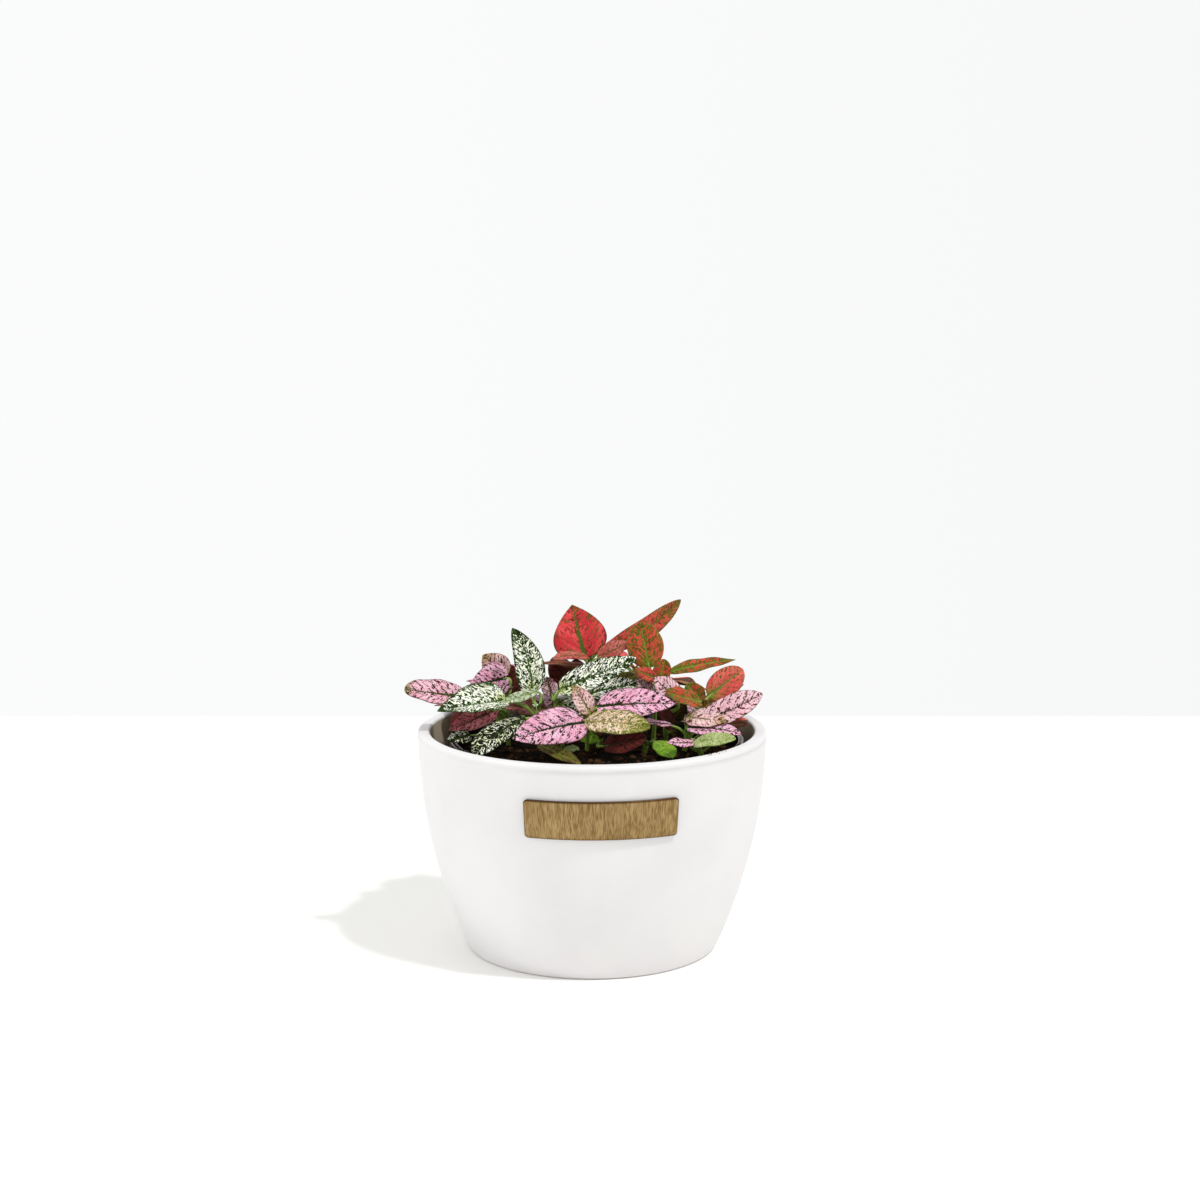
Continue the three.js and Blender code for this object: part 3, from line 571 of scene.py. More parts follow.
LOOKS = {
    "pink": Look(
        PINK, PINK_DEEP, DARK_GREEN, DARK_MAROON, UNDER_PINK,
        rib=(36, 48, 16), margin=(84, 38, 42), cover=0.607, gap=0.37, fleck=(1.2, 0.95),
        soft=0.01, rib_width=0.75,
    ),
    "pink_green_tip": Look(
        (240, 192, 208), (234, 174, 190), (60, 58, 18), DARK_MAROON, UNDER_PINK,
        rib=(60, 68, 22), margin=(88, 58, 38), cover=0.595, gap=0.37,
        fleck=(1.25, 0.95), soft=0.01, rib_width=0.85,
        tip=(140, 142, 54), tip_from=0.84, tip_pull=0.04, edge_pull=0.05,
    ),
    "pale_pink": Look(
        (246, 214, 208), (240, 190, 198), (96, 82, 30), (104, 48, 42),
        UNDER_PINK, rib=(112, 104, 46), margin=(104, 72, 46), cover=0.6, gap=0.4,
        soft=0.01,
        tip=(176, 156, 92), heart=(160, 140, 66), rib_width=0.4,
    ),
    "blush": Look(
        (238, 200, 208), (232, 182, 192), (70, 40, 26), (84, 36, 32),
        (144, 80, 70), rib=(50, 44, 22), margin=(84, 46, 38), cover=0.605,
        gap=0.37, rib_width=0.6, fleck=(1.2, 0.95), soft=0.01,
    ),
    "white": Look(
        (252, 254, 240), (246, 250, 226), (30, 52, 1), (20, 34, 1),
        UNDER_WHITE, rib=(52, 80, 24), margin=(38, 58, 14), cover=0.505,
        fleck=(0.72, 0.56), gap=0.56, rib_width=0.6, vein_pull=0.02, rib_pull=0.04,
        edge_pull=0.07, tip_pull=0.06, heart=(186, 198, 104), soft=0.006,
    ),
    "white_green": Look(
        (250, 252, 236), (242, 246, 220), (38, 64, 2), (26, 44, 1),
        UNDER_WHITE, rib=(60, 88, 28), margin=(42, 64, 14), cover=0.505,
        fleck=(0.8, 0.62), gap=0.56, rib_width=0.45, vein_pull=0.02, rib_pull=0.03,
        edge_pull=0.09, tip_pull=0.12, heart=(186, 198, 104), soft=0.006,
    ),
    # A white leaf's look painted darker, with less white and a near-black ground: painted shade for
    # white leaves lying in shade.
    "moss": Look(
        (250, 252, 230), (222, 226, 184), (14, 24, 0), (10, 14, 0),
        UNDER_WHITE, rib=(34, 52, 12), margin=(22, 30, 6), cover=0.45,
        fleck=(0.68, 0.54), gap=0.48, rib_width=0.7, rib_pull=0.05, soft=0.006,
    ),
    "silver": Look(
        (200, 208, 182), (182, 194, 154), (98, 118, 66), (80, 100, 46),
        UNDER_WHITE, rib=(120, 140, 80), margin=(112, 126, 74), cover=0.57,
        fleck=(1.4, 0.9), rib_width=0.3, soft=0.04,
    ),
    "cream": Look(
        (240, 212, 192), (228, 196, 160), (108, 114, 38), (92, 98, 28),
        (140, 122, 74), rib=(140, 132, 58), margin=(106, 96, 42), cover=0.54,
        fleck=(0.95, 0.8), gap=0.42, rib_width=0.3, edge_pull=0.07, tip_pull=0.12, soft=0.01,
        tip=(176, 172, 96),
    ),
    "red": Look(
        (222, 76, 78), (206, 50, 62), (100, 82, 28), (112, 44, 28),
        UNDER_RED, rib=(76, 98, 34), margin=(92, 54, 34), cover=0.575,
        fleck=(0.66, 0.5), gap=0.46, rib_width=1.1, tip_pull=0.07, edge_pull=0.02,
        rib_pull=0.05, soft=0.03,
    ),
    "red_green": Look(
        (204, 80, 64), (190, 60, 50), (88, 100, 22), (92, 76, 22),
        UNDER_RED, rib=(112, 132, 42), margin=(124, 112, 54), cover=0.525,
        fleck=(0.62, 0.46), gap=0.42, rib_width=0.6, edge_pull=0.06, tip_pull=0.05,
        heart=(96, 132, 26), heart_reach=0.5,
    ),
    "salmon": Look(
        (218, 106, 92), (208, 84, 76), (98, 88, 32), (114, 54, 36),
        UNDER_RED, rib=(108, 126, 54), margin=(108, 80, 48), cover=0.62,
        fleck=(1.2, 0.8), gap=0.46, rib_width=0.75, tip_pull=0.04, heart=(92, 132, 30),
        heart_reach=0.4,
    ),
    "brick": Look(
        (210, 82, 70), (188, 62, 56), (94, 84, 28), (106, 54, 28),
        UNDER_RED, rib=(92, 104, 38), margin=(92, 76, 34), cover=0.56,
        fleck=(0.8, 0.55), gap=0.42, rib_width=0.6, edge_pull=0.06, tip_pull=0.08,
        tip=(150, 96, 52), rib_pull=0.04, soft=0.03,
    ),
    "rose": Look(
        (204, 110, 102), (182, 80, 76), (112, 54, 40), (100, 80, 40),
        UNDER_RED, rib=(120, 78, 48), margin=(98, 54, 42), cover=0.58, gap=0.4,
    ),
    "rust": Look(
        (136, 66, 44), (112, 50, 34), (80, 64, 30), (76, 40, 26),
        UNDER_RED, rib=(110, 92, 48), margin=(88, 72, 36), cover=0.58,
    ),
    "plum": Look(
        (214, 134, 140), (190, 98, 106), (80, 44, 38), (76, 32, 34),
        (110, 56, 56), rib=(78, 52, 38), margin=(60, 30, 28), cover=0.59,
    ),
    "speckled": Look(
        (226, 190, 196), (204, 150, 160), (58, 40, 24), (66, 28, 26),
        (98, 48, 38), rib=(72, 60, 30), margin=(74, 40, 32), cover=0.54,
        fleck=(1.0, 0.8), soft=0.01,
    ),
    # A dark maroon look, painted shade: it darkens leaves lying in shade and fills shaded gaps
    # between leaves.
    "maroon": Look(
        (122, 50, 46), (96, 36, 36), (44, 30, 14), (50, 20, 16),
        (78, 38, 32), rib=(62, 46, 26), margin=(50, 28, 22), cover=0.56,
    ),
    "maroon_pink": Look(
        (186, 126, 124), (140, 70, 62), (56, 42, 22), (72, 32, 24),
        (98, 48, 38), rib=(80, 64, 32), margin=(74, 48, 30), cover=0.54,
    ),
    "olive": Look(
        (112, 112, 40), (90, 76, 32), (52, 56, 20), (78, 36, 32),
        (106, 48, 50), rib=(118, 118, 50), margin=(88, 66, 36), cover=0.56,
    ),
    # The olive look painted darker: painted shade for a leaf filling a shaded gap.
    "olive_dark": Look(
        (84, 78, 32), (72, 46, 28), (42, 38, 16), (46, 24, 16),
        (72, 40, 32), rib=(86, 80, 36), margin=(58, 40, 22), cover=0.55,
    ),
    "pale_green": Look(
        (192, 200, 150), (168, 182, 114), (118, 138, 68), (102, 124, 54),
        UNDER_GREEN, rib=(138, 160, 80), margin=(118, 136, 64), cover=0.57,
        fleck=(0.9, 0.6), gap=0.5, rib_width=0.25, soft=0.07,
    ),
    "green": Look(
        (148, 184, 62), (110, 154, 40), (76, 112, 26), (56, 90, 20),
        UNDER_GREEN, rib=(160, 188, 84), margin=(82, 116, 30), cover=0.6,
        fleck=(0.7, 0.5), gap=0.55, rib_width=0.2, soft=0.08,
    ),
}


LEAF_SKIN = {"Specular_IOR_Level": 0.08, **flesh(0.1, (1.0, 0.8, 0.5), 0.5)}


def upper_material(name, look):
    """A leaf's upper face. leaf_place holds the vein line a point lies on and its distance
    from the midrib, in millimetres, with the leaf's own seed; leaf_form holds its share of
    the length and of the half width, and the count of side veins up to it."""
    tree = Skin(f"{name}_upper")
    place = tree.attribute("leaf_place")
    off_rib = place.parts()[1].absolute()
    along, edge, veins = tree.attribute("leaf_form").parts()
    jag = tree.noise(place, 1.9, 2) - 0.5
    wander = tree.noise(place, 0.6, 1) - 0.5
    near_vein = veins.off_whole().ramp(0.25, 0.0)

    fleck_level = (
        tree.noise(place.scaled(*look.fleck, 1.0), 1.0, 1.4, 1.9)
        + near_vein * look.vein_pull
        + off_rib.ramp(1.6, 0.2) * look.rib_pull
        + edge.ramp(0.7, 1.0) * look.edge_pull
        + along.ramp(0.6, 1.0) * look.tip_pull
    )
    fleck_share = fleck_level.ramp(look.cover - look.soft, look.cover + look.soft)
    strayed = veins + wander * look.stray + jag * 0.5
    breaks = tree.noise(place.scaled(0.8, 1.1, 1.0), 1.0, 1.0)
    line_share = ((breaks - look.gap) * 0.9 - strayed.off_whole()).ramp(0.0, 0.04)
    taper = tree.math("POWER", along * -1.0 + 1.02, 0.8) * look.rib_width
    rib_share = (taper + jag * 1.9 - off_rib).ramp(-0.04, 0.08)

    cloud = tree.noise(place, 0.16, 2).ramp(0.35, 0.65)
    splash = tree.mix(cloud, look.splash, look.splash_deep)
    if look.tip:
        splash = tree.mix(along.ramp(look.tip_from, 1.0) * 0.95, splash, look.tip)
    if look.heart:
        heart = along.ramp(look.heart_reach, 0.0) * off_rib.ramp(5.0, 0.5)
        splash = tree.mix(heart * 0.9, splash, look.heart)
    deep = tree.noise(place, 0.3, 2).ramp(0.4, 0.6)
    ground = tree.mix(deep, look.ground, look.ground_deep)
    colour = tree.mix(fleck_share.larger(line_share), splash, ground)
    colour = tree.mix(rib_share, colour, look.rib)
    colour = tree.mix(edge.ramp(0.93, 0.985) * 0.85, colour, look.margin)
    height = tree.noise(place, 3.2, 2) + near_vein * -0.5
    return tree.finish(colour, 0.44, height, 0.1, **LEAF_SKIN)


def under_material(name, look):
    """A leaf's dull underside, with its veins standing out paler."""
    tree = Skin(f"{name}_under")
    place = tree.attribute("leaf_place")
    flecks = tree.noise(place.scaled(1.1, 0.5, 1.0), 1.0, 2).ramp(0.42, 0.66)
    colour = tree.mix(flecks * 0.45, look.under, look.ground)
    vein = tree.attribute("leaf_form").parts()[2].off_whole().ramp(0.09, 0.02)
    rib = place.parts()[1].absolute().ramp(0.75, 0.35)
    colour = tree.mix(vein.larger(rib) * 0.4, colour, LIME)
    return tree.finish(colour, 0.58, vein + tree.noise(place, 3.0, 2), 0.12, **LEAF_SKIN)


# Meshes.


def new_piece(name, points, faces, materials, indices=None):
    """An object at the origin, from points in millimetres."""
    mesh = bpy.data.meshes.new(name)
    mesh.from_pydata((np.asarray(points) * MM).tolist(), [], faces)
    for material in materials:
        mesh.materials.append(material)
    if indices is not None:
        mesh.polygons.foreach_set("material_index", indices)
    mesh.polygons.foreach_set("use_smooth", [True] * len(faces))
    mesh.update()
    piece = bpy.data.objects.new(name, mesh)
    bpy.context.scene.collection.objects.link(piece)
    return piece


def give_vectors(piece, name, vectors):
    layer = piece.data.attributes.new(name, "FLOAT_VECTOR", "POINT")
    layer.data.foreach_set("vector", np.asarray(vectors, dtype=float).ravel())


def settle(piece, slot, *nodes):
    """Rides the piece on the one body and hides the CAD nodes it stands for. The slot is not used.
    """
    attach(piece, "root")
    if nodes:
        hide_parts(*nodes)


def lathe(profile, segments, shift=0.0):
    """Points and faces of a profile of (radius, height) turned about the Z axis."""
    points = []
    rings = []
    for radius, height in profile:
        count = 1 if radius < 1e-6 else segments
        rings.append((len(points), count))
        for k in range(count):
            angle = 2 * math.pi * k / segments
            points.append((shift + radius * math.cos(angle), radius * math.sin(angle), height))
    faces = []
    for (low, low_count), (high, high_count) in zip(rings, rings[1:]):
        for k in range(segments):
            after = (k + 1) % segments
            face = [low + k % low_count, low + after % low_count]
            face += [high + after % high_count, high + k % high_count]
            faces.append(tuple(dict.fromkeys(face)))
    return points, faces


def arc(centre, radius, start, end, steps):
    """Points of an arc in the (radius, height) plane; angles in degrees."""
    angles = [math.radians(start + (end - start) * i / steps) for i in range(steps + 1)]
    return [(centre[0] + radius * math.cos(a), centre[1] + radius * math.sin(a)) for a in angles]


def sheet_faces(rows, columns, start=0):
    """Faces of a sheet of two grids of points, the lower grid second: those of the upper
    grid, those of the lower one, and the strip between them."""
    width = columns + 1
    count = (rows + 1) * width

    def at(side, row, column):
        return start + side * count + row * width + column

    upper, lower, rim = [], [], []
    for r in range(rows):
        for c in range(columns):
            upper.append((at(0, r, c), at(0, r, c + 1), at(0, r + 1, c + 1), at(0, r + 1, c)))
            lower.append((at(1, r, c), at(1, r + 1, c), at(1, r + 1, c + 1), at(1, r, c + 1)))
        last = columns
        rim.append((at(1, r, 0), at(0, r, 0), at(0, r + 1, 0), at(1, r + 1, 0)))
        rim.append((at(0, r, last), at(1, r, last), at(1, r + 1, last), at(0, r + 1, last)))
    for c in range(columns):
        last = rows
        rim.append((at(1, 0, c), at(1, 0, c + 1), at(0, 0, c + 1), at(0, 0, c)))
        rim.append((at(0, last, c), at(0, last, c + 1), at(1, last, c + 1), at(1, last, c)))
    return upper, lower, rim


# Planter and name plate.


def pot_radius(height):
    """The wall flares fast at the foot and stands nearly upright at the rim."""
    down = 1 - height / POT_HEIGHT
    return FOOT_RADIUS + (RIM_RADIUS - FOOT_RADIUS) * (1 - down * down)


def make_planter():
    foot = [(0, FOOT_RECESS), (FOOT_RADIUS - FOOT_RECESS_EDGE, FOOT_RECESS)]
    foot += arc((FOOT_RADIUS - FOOT_RING, FOOT_RING_EDGE), FOOT_RING_EDGE, 150, 270, 4)
    foot += arc((FOOT_RADIUS - FOOT_EDGE, FOOT_EDGE), FOOT_EDGE, -90, -8, 8)
    outer = []
    top = POT_HEIGHT - LIP_GROOVE_DEPTH
    for i in range(1, OUTER_STEPS + 1):
        height = FOOT_EDGE + (top - FOOT_EDGE) * i / OUTER_STEPS
        outer.append((pot_radius(height) - LIP_GROOVE, height))
    outer_top = POT_HEIGHT - LIP_OUTER_EDGE
    inner_top = POT_HEIGHT - LIP_INNER_EDGE
    bead = [(RIM_RADIUS - LIP_GROOVE * 0.4, top + 0.1), (RIM_RADIUS - 0.03, top + 0.28)]
    bead += arc((RIM_RADIUS - LIP_OUTER_EDGE, outer_top), LIP_OUTER_EDGE, 0, 90, 12)
    bead += arc((RIM_RADIUS - WALL + LIP_INNER_EDGE, inner_top), LIP_INNER_EDGE, 90, 180, 8)
    inner = []
    corner_top = POT_FLOOR + INNER_CORNER
    for i in range(1, INNER_STEPS):
        height = inner_top + (corner_top - inner_top) * i / INNER_STEPS
        inner.append((pot_radius(height) - WALL, height))
    corner = pot_radius(corner_top) - WALL - INNER_CORNER
    inner += arc((corner, corner_top), INNER_CORNER, 0, -90, 8)
    inner.append((0, POT_FLOOR))
    profile = foot + outer + bead + inner
    points, faces = lathe(profile, POT_SEGMENTS)

    clay_rings = len(foot) - 6
    inner_start = len(foot) + len(outer) + len(bead) - 3
    indices = []
    for ring in range(len(profile) - 1):
        part = 2 if ring < clay_rings else (1 if ring > inner_start else 0)
        indices += [part] * POT_SEGMENTS
    materials = [
        glaze_material("outer_glaze", 0.46, (220, 218, 219), (225, 223, 223)),
        # The inner glaze is the same glaze painted darker and warmer: painted shade on the inside
        # wall.
        glaze_material("inner_glaze", 0.14, (204, 188, 165), (214, 200, 179)),
        bisque_material(),
    ]
    settle(new_piece("planter", points, faces, materials, indices), "white_ceramic", "outer_pot")


def make_brass_plate():
    """A bent plate with rounded corners and softened edges, off the wall by the seat gap."""
    radius = pot_radius(PLATE_MIDDLE)
    half_length = PLATE_LENGTH / 2
    straight = half_length - PLATE_CORNER
    bends = [math.pi / 2 * i / PLATE_CORNER_STEPS for i in range(PLATE_CORNER_STEPS)]
    ends = [straight + PLATE_CORNER * math.cos(bend) for bend in bends]
    middle = [straight - 2 * straight * i / PLATE_STEPS for i in range(PLATE_STEPS + 1)]
    columns = ends + middle + [-x for x in reversed(ends)]
    edge_levels = [1.0, 0.985, 0.965, 0.94]
    inner_levels = [0.94 - 1.88 * i / 12 for i in range(1, 12)]
    levels = edge_levels + inner_levels + [-level for level in reversed(edge_levels)]
    points = []
    edges = []
    for side in (1, 0):
        for x in columns:
            reach_in = max(0.0, abs(x) - straight)
            corner = PLATE_CORNER - math.sqrt(max(0.0, PLATE_CORNER ** 2 - reach_in ** 2))
            half = PLATE_HEIGHT / 2 - corner
            angle = PLATE_TURN - math.pi / 2 + x / radius
            for level in levels:
                height = PLATE_MIDDLE + level * half
                inward = min(half_length - abs(x), half * (1 - abs(level)) + corner * 0.4)
                share = min(1.0, inward / PLATE_BEVEL)
                drop = PLATE_BEVEL * (1 - math.sqrt(1 - (1 - share) ** 2))
                out = (PLATE_THICKNESS - drop) if side else 0.0
                reach = pot_radius(height) - LIP_GROOVE + SEAT + out
                points.append((reach * math.cos(angle), reach * math.sin(angle), height))
                # plate_edge holds each point's distance from the nearest edge, for the patina, and
                # from the top edge, for the painted shadow line under it.
                edges.append((min(1.0, inward / PLATE_DARK_RIM), min(1.0, half * (1 - level)), 0))
    front, back, rim = sheet_faces(len(columns) - 1, len(levels) - 1)
    plate = new_piece("brass_plate", points, front + back + rim, [brass_material()])
    give_vectors(plate, "plate_edge", edges)
    settle(plate, "brass", "name_plate")


# Grow pot and soil.


def grow_radius(height):
    share = (height - POT_FLOOR - SEAT) / (GROW_TOP - POT_FLOOR - SEAT)
    return GROW_FOOT_RADIUS + (GROW_TOP_RADIUS - GROW_FOOT_RADIUS) * share


def make_grow_pot():
    foot = POT_FLOOR + SEAT
    floor = foot + GROW_WALL
    skirt = GROW_TOP - GROW_RIM_DEPTH
    roll = GROW_RIM_EDGE
    profile = [(0, foot)]
    profile += arc((GROW_FOOT_RADIUS - 1, foot + 1), 1, -90, 0, 5)
    profile += [(grow_radius(skirt * 0.5), skirt * 0.5), (grow_radius(skirt) - 0.1, skirt - 0.2)]
    profile += [(GROW_RIM_RADIUS - 0.3, skirt), (GROW_RIM_RADIUS, skirt + 0.3)]
    profile += arc((GROW_RIM_RADIUS - roll, GROW_TOP - roll), roll, 0, 90, 6)
    profile += arc((GROW_TOP_RADIUS - GROW_WALL + roll, GROW_TOP - roll), roll, 90, 180, 6)
    profile += [(grow_radius(floor + 1) - GROW_WALL, floor + 1), (grow_radius(floor) - 2, floor)]
    profile += [(0, floor)]
    points, faces = lathe(profile, GROW_SEGMENTS, GROW_SHIFT)
    pot = new_piece("inner_grow_pot", points, faces, [plastic_material()])
    drills = []
    for k in range(DRAIN_HOLES):
        angle = 2 * math.pi * (k + 0.5) / DRAIN_HOLES
        ring = [(0, foot - 2), (DRAIN_RADIUS, foot - 2), (DRAIN_RADIUS, floor + 2), (0, floor + 2)]
        drill_points, drill_faces = lathe(ring, DRAIN_SEGMENTS, GROW_SHIFT)
        offset = np.array([DRAIN_CIRCLE * math.cos(angle), DRAIN_CIRCLE * math.sin(angle), 0])
        drill = new_piece(f"drill_{k}", np.array(drill_points) + offset, drill_faces, [])
        cut = pot.modifiers.new(f"drain_{k}", "BOOLEAN")
        cut.operation = "DIFFERENCE"
        cut.object = drill
        drills.append(drill)
    cut_mesh = bpy.data.meshes.new_from_object(
        pot.evaluated_get(bpy.context.evaluated_depsgraph_get())
    )
    pot.modifiers.clear()
    pot.data = cut_mesh
    for drill in drills:
        bpy.data.objects.remove(drill)
    settle(pot, "black_plastic", "grow_pot")


def value_noise(x, y, random_state):
    """Smooth noise from -1 to 1 over the plane, from a few seeded waves."""
    total = np.zeros_like(x)
    weight = 0.0
    for octave in range(5):
        scale = 0.12 * 1.9 ** octave
        strength = 0.7 ** octave
        for _ in range(5):
            turn = random_state.uniform(0, 2 * math.pi)
            phase = random_state.uniform(0, 2 * math.pi)
            total += strength * np.sin(scale * (x * math.cos(turn) + y * math.sin(turn)) + phase)
        weight += 5 * strength
    return total / weight * 2.2


def soil_height(x, y):
    return SOIL_TOP + SOIL_ROLL * value_noise(x, y, random.Random(5))


def make_soil():
    floor = POT_FLOOR + GROW_WALL + 2 * SEAT
    edge = grow_radius(SOIL_TOP) - GROW_WALL - SEAT
    profile = [(0, floor), (grow_radius(floor) - GROW_WALL - SEAT, floor)]
    for ring in range(SOIL_RINGS + 1):
        profile.append((edge * (1 - ring / SOIL_RINGS), SOIL_TOP))
    points, faces = lathe(profile, SOIL_SEGMENTS, GROW_SHIFT)
    points = np.array(points)
    top = points[:, 2] > SOIL_TOP - 0.01
    points[top, 2] = soil_height(points[top, 0], points[top, 1])
    material = soil_material("damp_soil", (10, 5, 2), (32, 20, 9))
    bed = new_piece("soil_bed", points, faces, [material])
    settle(bed, "soil", "soil")

    chips = random.Random(8)
    places = []
    for _ in range(CRUMBS):
        reach = (edge - 2) * math.sqrt(chips.random())
        turn = chips.uniform(0, 2 * math.pi)
        places.append((GROW_SHIFT + reach * math.cos(turn), reach * math.sin(turn)))
    centres = [(x, y, float(soil_height(np.array(x), np.array(y)))) for x, y in places]
    sizes = [CRUMB_LEAST + CRUMB_SPREAD * chips.random() ** 3 for _ in centres]
    crumb_soil = soil_material("crumb_soil", (20, 11, 5), (98, 70, 45))
    add_crumbs("soil_crumbs", centres, sizes, chips, crumb_soil)

    spilled = random.Random(3)
    centres = []
    for _ in range(LIP_CRUMBS):
        turn = math.radians(spilled.uniform(*LIP_CRUMB_TURNS))
        reach = RIM_RADIUS - spilled.uniform(*LIP_CRUMB_DEPTHS)
        centres.append((reach * math.cos(turn), reach * math.sin(turn), POT_HEIGHT))
    sizes = [spilled.uniform(*LIP_CRUMB_SIZES) for _ in centres]
    add_crumbs("lip_crumbs", centres, sizes, spilled, crumb_soil)


def add_crumbs(name, centres, sizes, chips, material):
    """Small rough lumps, one mesh for all of them."""
    golden = (1 + math.sqrt(5)) / 2
    corners = []
    for a in (-1, 1):
        for b in (-golden, golden):
            corners += [(0, a, b), (a, b, 0), (b, 0, a)]
    hull = bpy.data.meshes.new("lump")
    hull.from_pydata(corners, [], [])
    shape = bmesh.new()
    shape.from_mesh(hull)
    bmesh.ops.convex_hull(shape, input=shape.verts)
    bmesh.ops.subdivide_edges(shape, edges=shape.edges, cuts=1, use_grid_fill=True)
    shape.verts.ensure_lookup_table()
    base = np.array([v.co.normalized() for v in shape.verts])
    shape.verts.index_update()
    base_faces = [tuple(v.index for v in face.verts) for face in shape.faces]
    shape.free()
    bpy.data.meshes.remove(hull)
    points = []
    faces = []
    tones = []
    for centre, size in zip(centres, sizes):
        start = len(points) * len(base)
        rough = np.array([chips.uniform(0.72, 1.12) for _ in base])[:, None]
        stretch = np.array([chips.uniform(*span) for span in ((0.7, 1.5), (0.6, 1.1), (0.45, 0.9))])
        turn = chips.uniform(0, math.pi)
        cos, sin = math.cos(turn), math.sin(turn)
        spin = np.array([[cos, -sin, 0], [sin, cos, 0], [0, 0, 1]])
        points.append((base * rough * stretch * size) @ spin.T + np.array(centre))
        faces += [tuple(start + i for i in face) for face in base_faces]
        tones += [(chips.random() ** 3, 0, 0)] * len(base)
    piece = new_piece(name, np.concatenate(points), faces, [material])
    give_vectors(piece, "crumb_tone", tones)
    settle(piece, "soil")


# Leafy stems.


def unit(vector):
    return vector / np.linalg.norm(vector)


def blade_axes(leaf):
    base = np.array(leaf.base, dtype=float)
    along = np.array(leaf.tip, dtype=float) - base
    length = np.linalg.norm(along)
    along = along / length
    turn, lift = (math.radians(angle) for angle in leaf.facing)
    level = math.cos(lift)
    face = np.array([level * math.cos(turn), level * math.sin(turn), math.sin(lift)])
    face = unit(face - along * face.dot(along))
    return base, along, face, np.cross(along, face), length


def half_width(leaf, share):
    grow, fade = leaf.outline
    widest = grow / (grow + fade)
    peak = widest ** grow * (1 - widest) ** fade
    return np.maximum(leaf.width / 2 * share ** grow * (1 - share) ** fade / peak, BLADE_END)


def blade(leaf, seed):
    """The blade's two faces as grids of points, with what the materials read at each point."""
    chance = random.Random(seed)
    base, along, face, across, length = blade_axes(leaf)
    row = np.linspace(0, 1, BLADE_ROWS + 1)[:, None]
    share = (1 - np.cos(math.pi * row)) / 2
    column = np.linspace(-1, 1, BLADE_COLUMNS + 1)[None, :]
    side = np.sign(column) * np.abs(column) ** 1.2
    half = half_width(leaf, share)
    x = length * share + 0 * side
    y = half * side
    off = np.abs(y)
    edge = np.abs(side) + 0 * share
    vein_line = x - VEIN_SLOPE * off - VEIN_CURVE * off ** 2
    pitch = length / VEINS
    shift = chance.random()
    veins = vein_line / pitch + np.where(side < 0, 0.45, 0.0) + shift

    fold = math.radians(leaf.fold)
    hump = 4 * share * (1 - share)
    soft = np.sqrt(y ** 2 + 0.3) - math.sqrt(0.3)
    relief = soft * math.sin(fold) + leaf.rise * hump
    plump = np.clip(off / 1.2, 0, 1) * np.clip((1 - edge) / 0.2, 0, 1)
    quilt = 0.5 - 0.5 * np.cos(2 * math.pi * veins)
    quilt_height = min(0.14, 0.01 * leaf.width)
    relief = relief + quilt_height * plump * quilt
    relief = relief + 0.05 * half * 4 * edge * (1 - edge)
    waves = chance.uniform(1.6, 2.6)
    for sign in (-1, 1):
        phase = chance.uniform(0, 2 * math.pi)
        ripple = np.sin(2 * math.pi * waves * share + phase)
        relief = relief + np.where(side * sign > 0, leaf.wave * edge ** 2 * ripple * hump, 0)
    relief = relief + chance.uniform(-0.5, 0.2) * np.clip((share - 0.7) / 0.3, 0, 1) ** 2

    centre = (
        base
        + along * x[..., None]
        + across * (leaf.bend * hump + y * math.cos(fold))[..., None]
        + face * relief[..., None]
    )
    thickness = BLADE_THICKNESS / 2 * np.sqrt(1 - 0.85 * edge ** 6)
    groove = GROOVE * np.exp(-((y / GROOVE_WIDTH) ** 2)) * (1 - share)
    ridge = RIDGE * np.exp(-((y / RIDGE_WIDTH) ** 2)) * (1 - share) ** 0.8
    upper = centre + face * (thickness - groove)[..., None]
    lower = centre - face * (thickness + ridge)[..., None]
    offset = seed * 17.3
    place = np.stack([vein_line, y, np.full_like(x, offset)], axis=-1)
    form = np.stack([share + 0 * side, edge, veins], axis=-1)
    return upper, lower, place, form


def young_leaves(stem, chance):
    """A pair or two of small new leaves round the growing tip."""
    tip = np.array(stem.top, dtype=float)
    looks = [leaf.look for leaf in stem.leaves]
    young = []
    start = chance.uniform(0, math.pi)
    for k in range(4):
        turn = start + k * math.pi / 2 + (0.3 if k > 1 else 0)
        size = chance.uniform(4.2, 5.4) if k % 2 == 0 else chance.uniform(2.6, 3.4)
        out = np.array([math.cos(turn), math.sin(turn), chance.uniform(0.6, 1.1)])
        base = tip + out * 0.4
        end = base + unit(out) * size
        facing = (math.degrees(turn) + 180, 45)
        ends = (tuple(base), tuple(end))
        young.append(Leaf(*ends, size * 0.5, facing, OVATE, looks[0], 0.3, wave=0.1))
    return young


def make_blades(name, stem, seed, slot):
    leaves = stem.leaves + young_leaves(stem, random.Random(seed + 500))
    looks = sorted({leaf.look for leaf in leaves})
    materials = [MATERIALS[look] for look in looks]
    points, faces, indices, places, forms = [], [], [], [], []
    start = 0
    for number, leaf in enumerate(leaves):
        upper, lower, place, form = blade(leaf, seed * 10 + number)
        above, below, rim = sheet_faces(BLADE_ROWS, BLADE_COLUMNS, start)
        faces += above + rim + below
        index = 2 * looks.index(leaf.look)
        indices += [index] * (len(above) + len(rim)) + [index + 1] * len(below)
        for grid in (upper, lower):
            points.append(grid.reshape(-1, 3))
            places.append(place.reshape(-1, 3))
            forms.append(form.reshape(-1, 3))
            start += grid.shape[0] * grid.shape[1]
    flat = [material for pair in materials for material in pair]
    piece = new_piece(f"{name}_blades", np.concatenate(points), faces, flat, indices)
    give_vectors(piece, "leaf_place", np.concatenate(places))
    give_vectors(piece, "leaf_form", np.concatenate(forms))
    settle(piece, slot, name)


